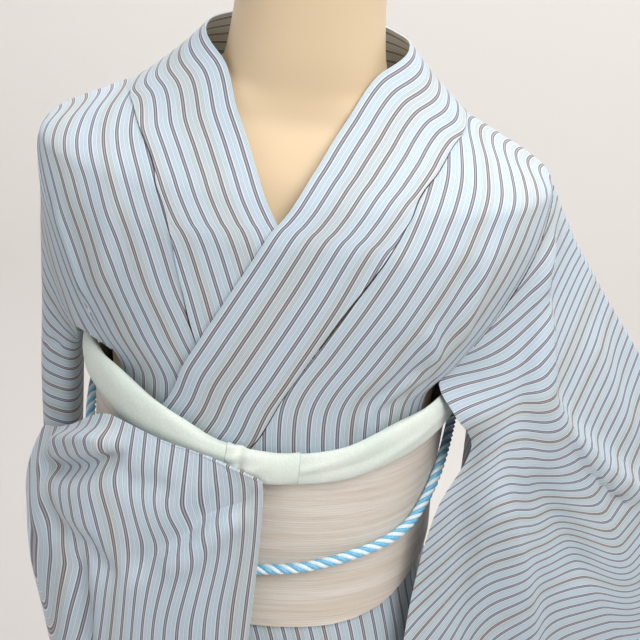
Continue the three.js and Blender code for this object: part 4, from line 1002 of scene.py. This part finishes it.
KIMONO = (THIN, cloth, "kimono_cloth")
COLLAR_BAND = (BAND, cloth, "kimono_cloth")
BELT = (OBI_WALL, belt, "obi_cloth")


def sheet_piece(name, node, grid, uv, make, ring=False):
    """One cloth: a shell over the grid, which hides the solid of its node."""
    piece = shell(name, grid, uv, *make, ring=ring, nodes=[node])


def front_share(grid, steps=SLEEVE_STEPS):
    """1 on a tube's front layer, 0 on its back layer, soft at its two folds."""
    index = np.arange(grid.shape[1])
    share = np.where(index <= steps, 1.0, 0.0)
    for edge in (0, steps):
        away = np.minimum(np.abs(index - edge), grid.shape[1] - np.abs(index - edge))
        share = np.where((away < FOLD_BLEND) & (index > steps), 1 - away / FOLD_BLEND, share)
    return share[None, :]


def stripe_numbers(stripes, along, across):
    """Stripe numbers over a grid of the front layer, from the table's places."""
    rows = monotone(stripes["at"], np.array(stripes["number"]))(np.linspace(0, 1, along + 1))
    shares = eased(np.linspace(0, 1, across + 1))
    return monotone(STRIPE_SHARES, rows.T)(shares).T + 0.5


def sleeve_uv(grid, stripes):
    """Cloth coordinates: stripes run down both layers, from the top fold to the lower fold."""
    front = stripe_numbers(stripes, len(grid) - 1, SLEEVE_STEPS) * REPEAT
    u = np.concatenate([front, front[:, ::-1][:, 1:-1], front[:, :1]], 1)
    return np.stack([u, arc_uv(grid, True)[..., 0]], -1)


# ---- Kimono ----
for name, source, side in (("body_left", BODY_LEFT, LEFT), ("body_right", BODY_RIGHT, RIGHT)):
    grid = body_panel(source, side)
    uv = arc_uv(grid, False, from_last=True)
    grid = folded(grid, False, FOLDS[name])
    sheet_piece(name + "_cloth", name, grid, uv, KIMONO)

grid = collar_band()
sheet_piece("collar_cloth", "collar", grid, arc_uv(grid, False), COLLAR_BAND)

for k, name in enumerate(SKIRT["name"].tolist()):
    grid = skirt_panel(k)
    sheet_piece(name + "_cloth", name, grid, arc_uv(grid, False), KIMONO)

grid = left_sleeve()
uv = sleeve_uv(grid, STRIPES_LEFT)
from_seam = smooth(np.linspace(0, 1, len(grid)) / SEWN_SHARE)[:, None]
grid = folded(grid, True, FOLDS["sleeve_left"], front_share(grid) * from_seam)
grid = folded(grid, True, FOLDS["sleeve_left_back"], (1 - front_share(grid)) * from_seam)
sheet_piece("sleeve_left_cloth", "sleeve_left", grid, uv, KIMONO, ring=True)

grid = right_sleeve()
along = np.linalg.norm(np.diff(grid, axis=0), axis=-1).mean(1)
uv = arc_uv(grid, True)
uv[..., 0] = np.concatenate([[0], np.cumsum(along)])[:, None]
grid = folded(grid, True, FOLDS["sleeve_right"])
sheet_piece("sleeve_right_cloth", "sleeve_right", grid, uv, KIMONO, ring=True)

grid = fore_sleeve()
uv = sleeve_uv(grid, STRIPES_FORE)
grid = folded(grid, True, FOLDS["sleeve_right_fore"], front_share(grid))
fore = "sleeve_right_fore"
sheet_piece(fore + "_cloth", fore, grid, uv, KIMONO, ring=True)

# ---- Belt ----
grid = obi_wrap()
sheet_piece("obi_belt", "obi", grid, arc_uv(grid, True), BELT, ring=True)
grid = drum_grid()
sheet_piece("obi_bow", "obi_drum", grid, arc_uv(grid, True), BELT, ring=True)


def wrinkled(rings, depth, seed, cell=30.0):
    """Soft creases that run mostly along a padded roll."""
    count, sides = rings.shape[:2]
    waves = np.random.default_rng(seed)
    middle = rings.mean(1, keepdims=True)
    run = run_of(middle[:, 0])[:, None]
    angle = circle(sides)[None, :]
    swell = np.zeros((count, sides))
    for _ in range(WAVES):
        around = waves.integers(1, 5)
        height = waves.uniform(0.4, 1)
        along = run / (cell * waves.uniform(0.6, 2))
        swell += height * np.sin(around * angle + along + waves.uniform(0, 6.3))
    swell = -np.abs(swell / 3) ** 1.3 * depth
    return rings + unit(rings - middle) * swell[..., None]


turns = np.linspace(ROLL_FROM, ROLL_FROM + 360 - ROLL_GAP, 420)
rings = wrinkled(scarf_ring(np.where(turns > 270, turns - 360, turns), ROLL_SWELL), depth=1.3, seed=3)
piece = tube("obiage_roll", rings, scarf, nodes=["obiage"])
share = np.linspace(0, 1, 60)
rings = scarf_ring(np.linspace(*KNOT_TURNS, 60), KNOT_SWELL)
rings[..., 1] -= (KNOT_BULGE * np.sin(math.pi * share))[:, None]
knot_fold = KNOT_CREASE * np.exp(-(((share - 0.8) / 0.06) ** 2))
rings[..., 1] += knot_fold[:, None]
rings = wrinkled(rings, depth=1.2, seed=5, cell=12.0)
piece = tube("obiage_knot_fold", rings, scarf, nodes=["obiage_knot"])

cord_lift = OBI_INNER + OBI_SOLID + OBI_LEAN + CORD_RADIUS + CLOSE
front_left = body_point(CORD_FRONT["turn"], CORD_FRONT["z"], cord_lift)
left = np.vstack([front_left[1:], columns(CORD_BACK, "x", "y", "z")])
right = left[:-1][::-1] * [-1, 1, 1]
start = front_left[0] + [CORD_KNOT + CLOSE, 0, 0]
path = catmull(np.vstack([start, left, right, start * [-1, 1, 1]]), 1500)
tangent = unit(np.gradient(path, axis=0))
up = unit(np.cross(tangent, np.cross([0.0, 0.0, 1.0], tangent)))
aside = np.cross(tangent, up)
run = run_of(path)
angle = circle(10)
for k in range(4):
    twist = 2 * math.pi * (run / PLY_PITCH + k / 4)
    middle = path + PLY * PLY_SEAT * (up * np.cos(twist)[:, None] + aside * np.sin(twist)[:, None])
    rings = middle[:, None] + PLY * (
        up[:, None] * np.cos(angle)[None, :, None] + aside[:, None] * np.sin(angle)[None, :, None]
    )
    nodes = () if k else ["obijime"]
    tube(f"obijime_ply_{k}", rings, blue_silk if k % 2 else white_silk, nodes)

centre = body_point(90, CORD_FRONT["z"][0], cord_lift) - [0, CORD_RADIUS * 0.5, 0]
profile = []
for u in np.linspace(0, 1, 60):
    wound = 1 + 0.05 * math.sin(u * WINDINGS)
    r = CORD_RADIUS * BINDING_SWELL * max(math.sin(math.pi * u), 0) ** 0.6 * wound
    profile.append((max(r, 0.05), -CORD_KNOT * math.cos(math.pi * u)))
knot = {"centre": centre, "axis": "X", "nodes": ["obijime_knot"]}
lathe("obijime_binding", profile, teal_thread, "cord_silk", **knot)

# ---- Form and stand ----
z = np.linspace(FORM_BOTTOM, NECK_TOP, 140)[:, None]
rings = section_point(form_section, 360 * np.arange(160)[None, :] / 160, z)
tube("form_torso", rings, skin, ["form"])
cap = [(0.1, 0.3), (57, 0.3), (58.6, 1.4), (59, 3), (59, 9), (57.6, 11.6), (54, 13), (30, 13.2), (0.1, 13.3)]
lathe("form_neck_cap", cap, metal, "stand_metal", centre=(0, FORM["axis"][-1], NECK_TOP), nodes=["form_cap"])
pole = [(14, 14.3), (14, 400), (14, FORM_BOTTOM - CLOSE)]
lathe("form_stand_pole", pole, metal, "stand_metal", nodes=["form_pole"])
base = [(0.1, 0), (172, 0), (175, 2.5), (175, 9), (173.5, 12.5), (170, 14), (60, 14.0), (0.1, 14.0)]
lathe("form_stand_base", base, metal, "stand_metal", nodes=["form_base"])

# ---- Stage, light and camera ----
FLOOR_END, BEND = 0.75, 0.5  # where the floor ends, and the radius that takes it up to the wall
bend = [
    (FLOOR_END + BEND * math.sin(a), BEND - BEND * math.cos(a)) for a in np.linspace(0.1, math.pi / 2, 12)
]
sweep = [(-3.0, 0.0), (FLOOR_END, 0.0), *bend, (FLOOR_END + BEND, 4.0)]
vertices = [(x, y, z) for y, z in sweep for x in (-4.0, 4.0)]
faces = [(2 * k, 2 * k + 1, 2 * k + 3, 2 * k + 2) for k in range(len(sweep) - 1)]
mesh = bpy.data.meshes.new("backdrop")
mesh.from_pydata(vertices, [], faces)
mesh.polygons.foreach_set("use_smooth", np.ones(len(mesh.polygons), bool))
mesh.materials.append(wall_paint)
placed("backdrop", mesh)


def area_light(name, place, target, size, power, colour=(1, 1, 1)):
    light = bpy.data.lights.new(name, "AREA")
    light.shape = "RECTANGLE"
    light.size, light.size_y = size
    light.energy = power
    light.color = colour
    lamp = placed(name, light)
    lamp.location = place
    aim = np.array(target, float) - np.array(place, float)
    lamp.rotation_euler = Vector(aim).to_track_quat("-Z", "Y").to_euler()


area_light("key", (0.9, -1.3, 2.9), (0.05, 0, 1.15), (1.3, 1.3), 39, (1.0, 0.985, 0.965))
area_light("fill", (-1.8, -1.6, 1.9), (0, 0, 1.2), (1.6, 1.6), 7, (0.95, 0.97, 1.0))
area_light("top", (0.2, 0.2, 2.7), (0, 0, 1.2), (1.4, 1.2), 9)
area_light("wall", (0.2, 0.35, 2.9), (0.2, 1.25, 0.9), (2.4, 0.5), 15)
world = bpy.data.worlds.new("studio")
world.use_nodes = True
sky = world.node_tree.nodes["Background"].inputs
sky["Color"].default_value = (1.0, 0.99, 0.975, 1)
sky["Strength"].default_value = 0.42
scene.world = world
scene.view_settings.view_transform = "Standard"

camera = placed("camera", bpy.data.cameras.new("camera"))
camera.data.sensor_width = SENSOR
camera.data.lens = FOCUS * SENSOR / PICTURE
camera.data.clip_start = 0.05
matrix = Matrix.Identity(4)
for k, axis in enumerate((RIGHTWARD, UPWARD, -FORWARD)):
    for row in range(3):
        matrix[row][k] = axis[row]
for row in range(3):
    matrix[row][3] = EYE[row]
camera.matrix_world = matrix
scene.camera = camera
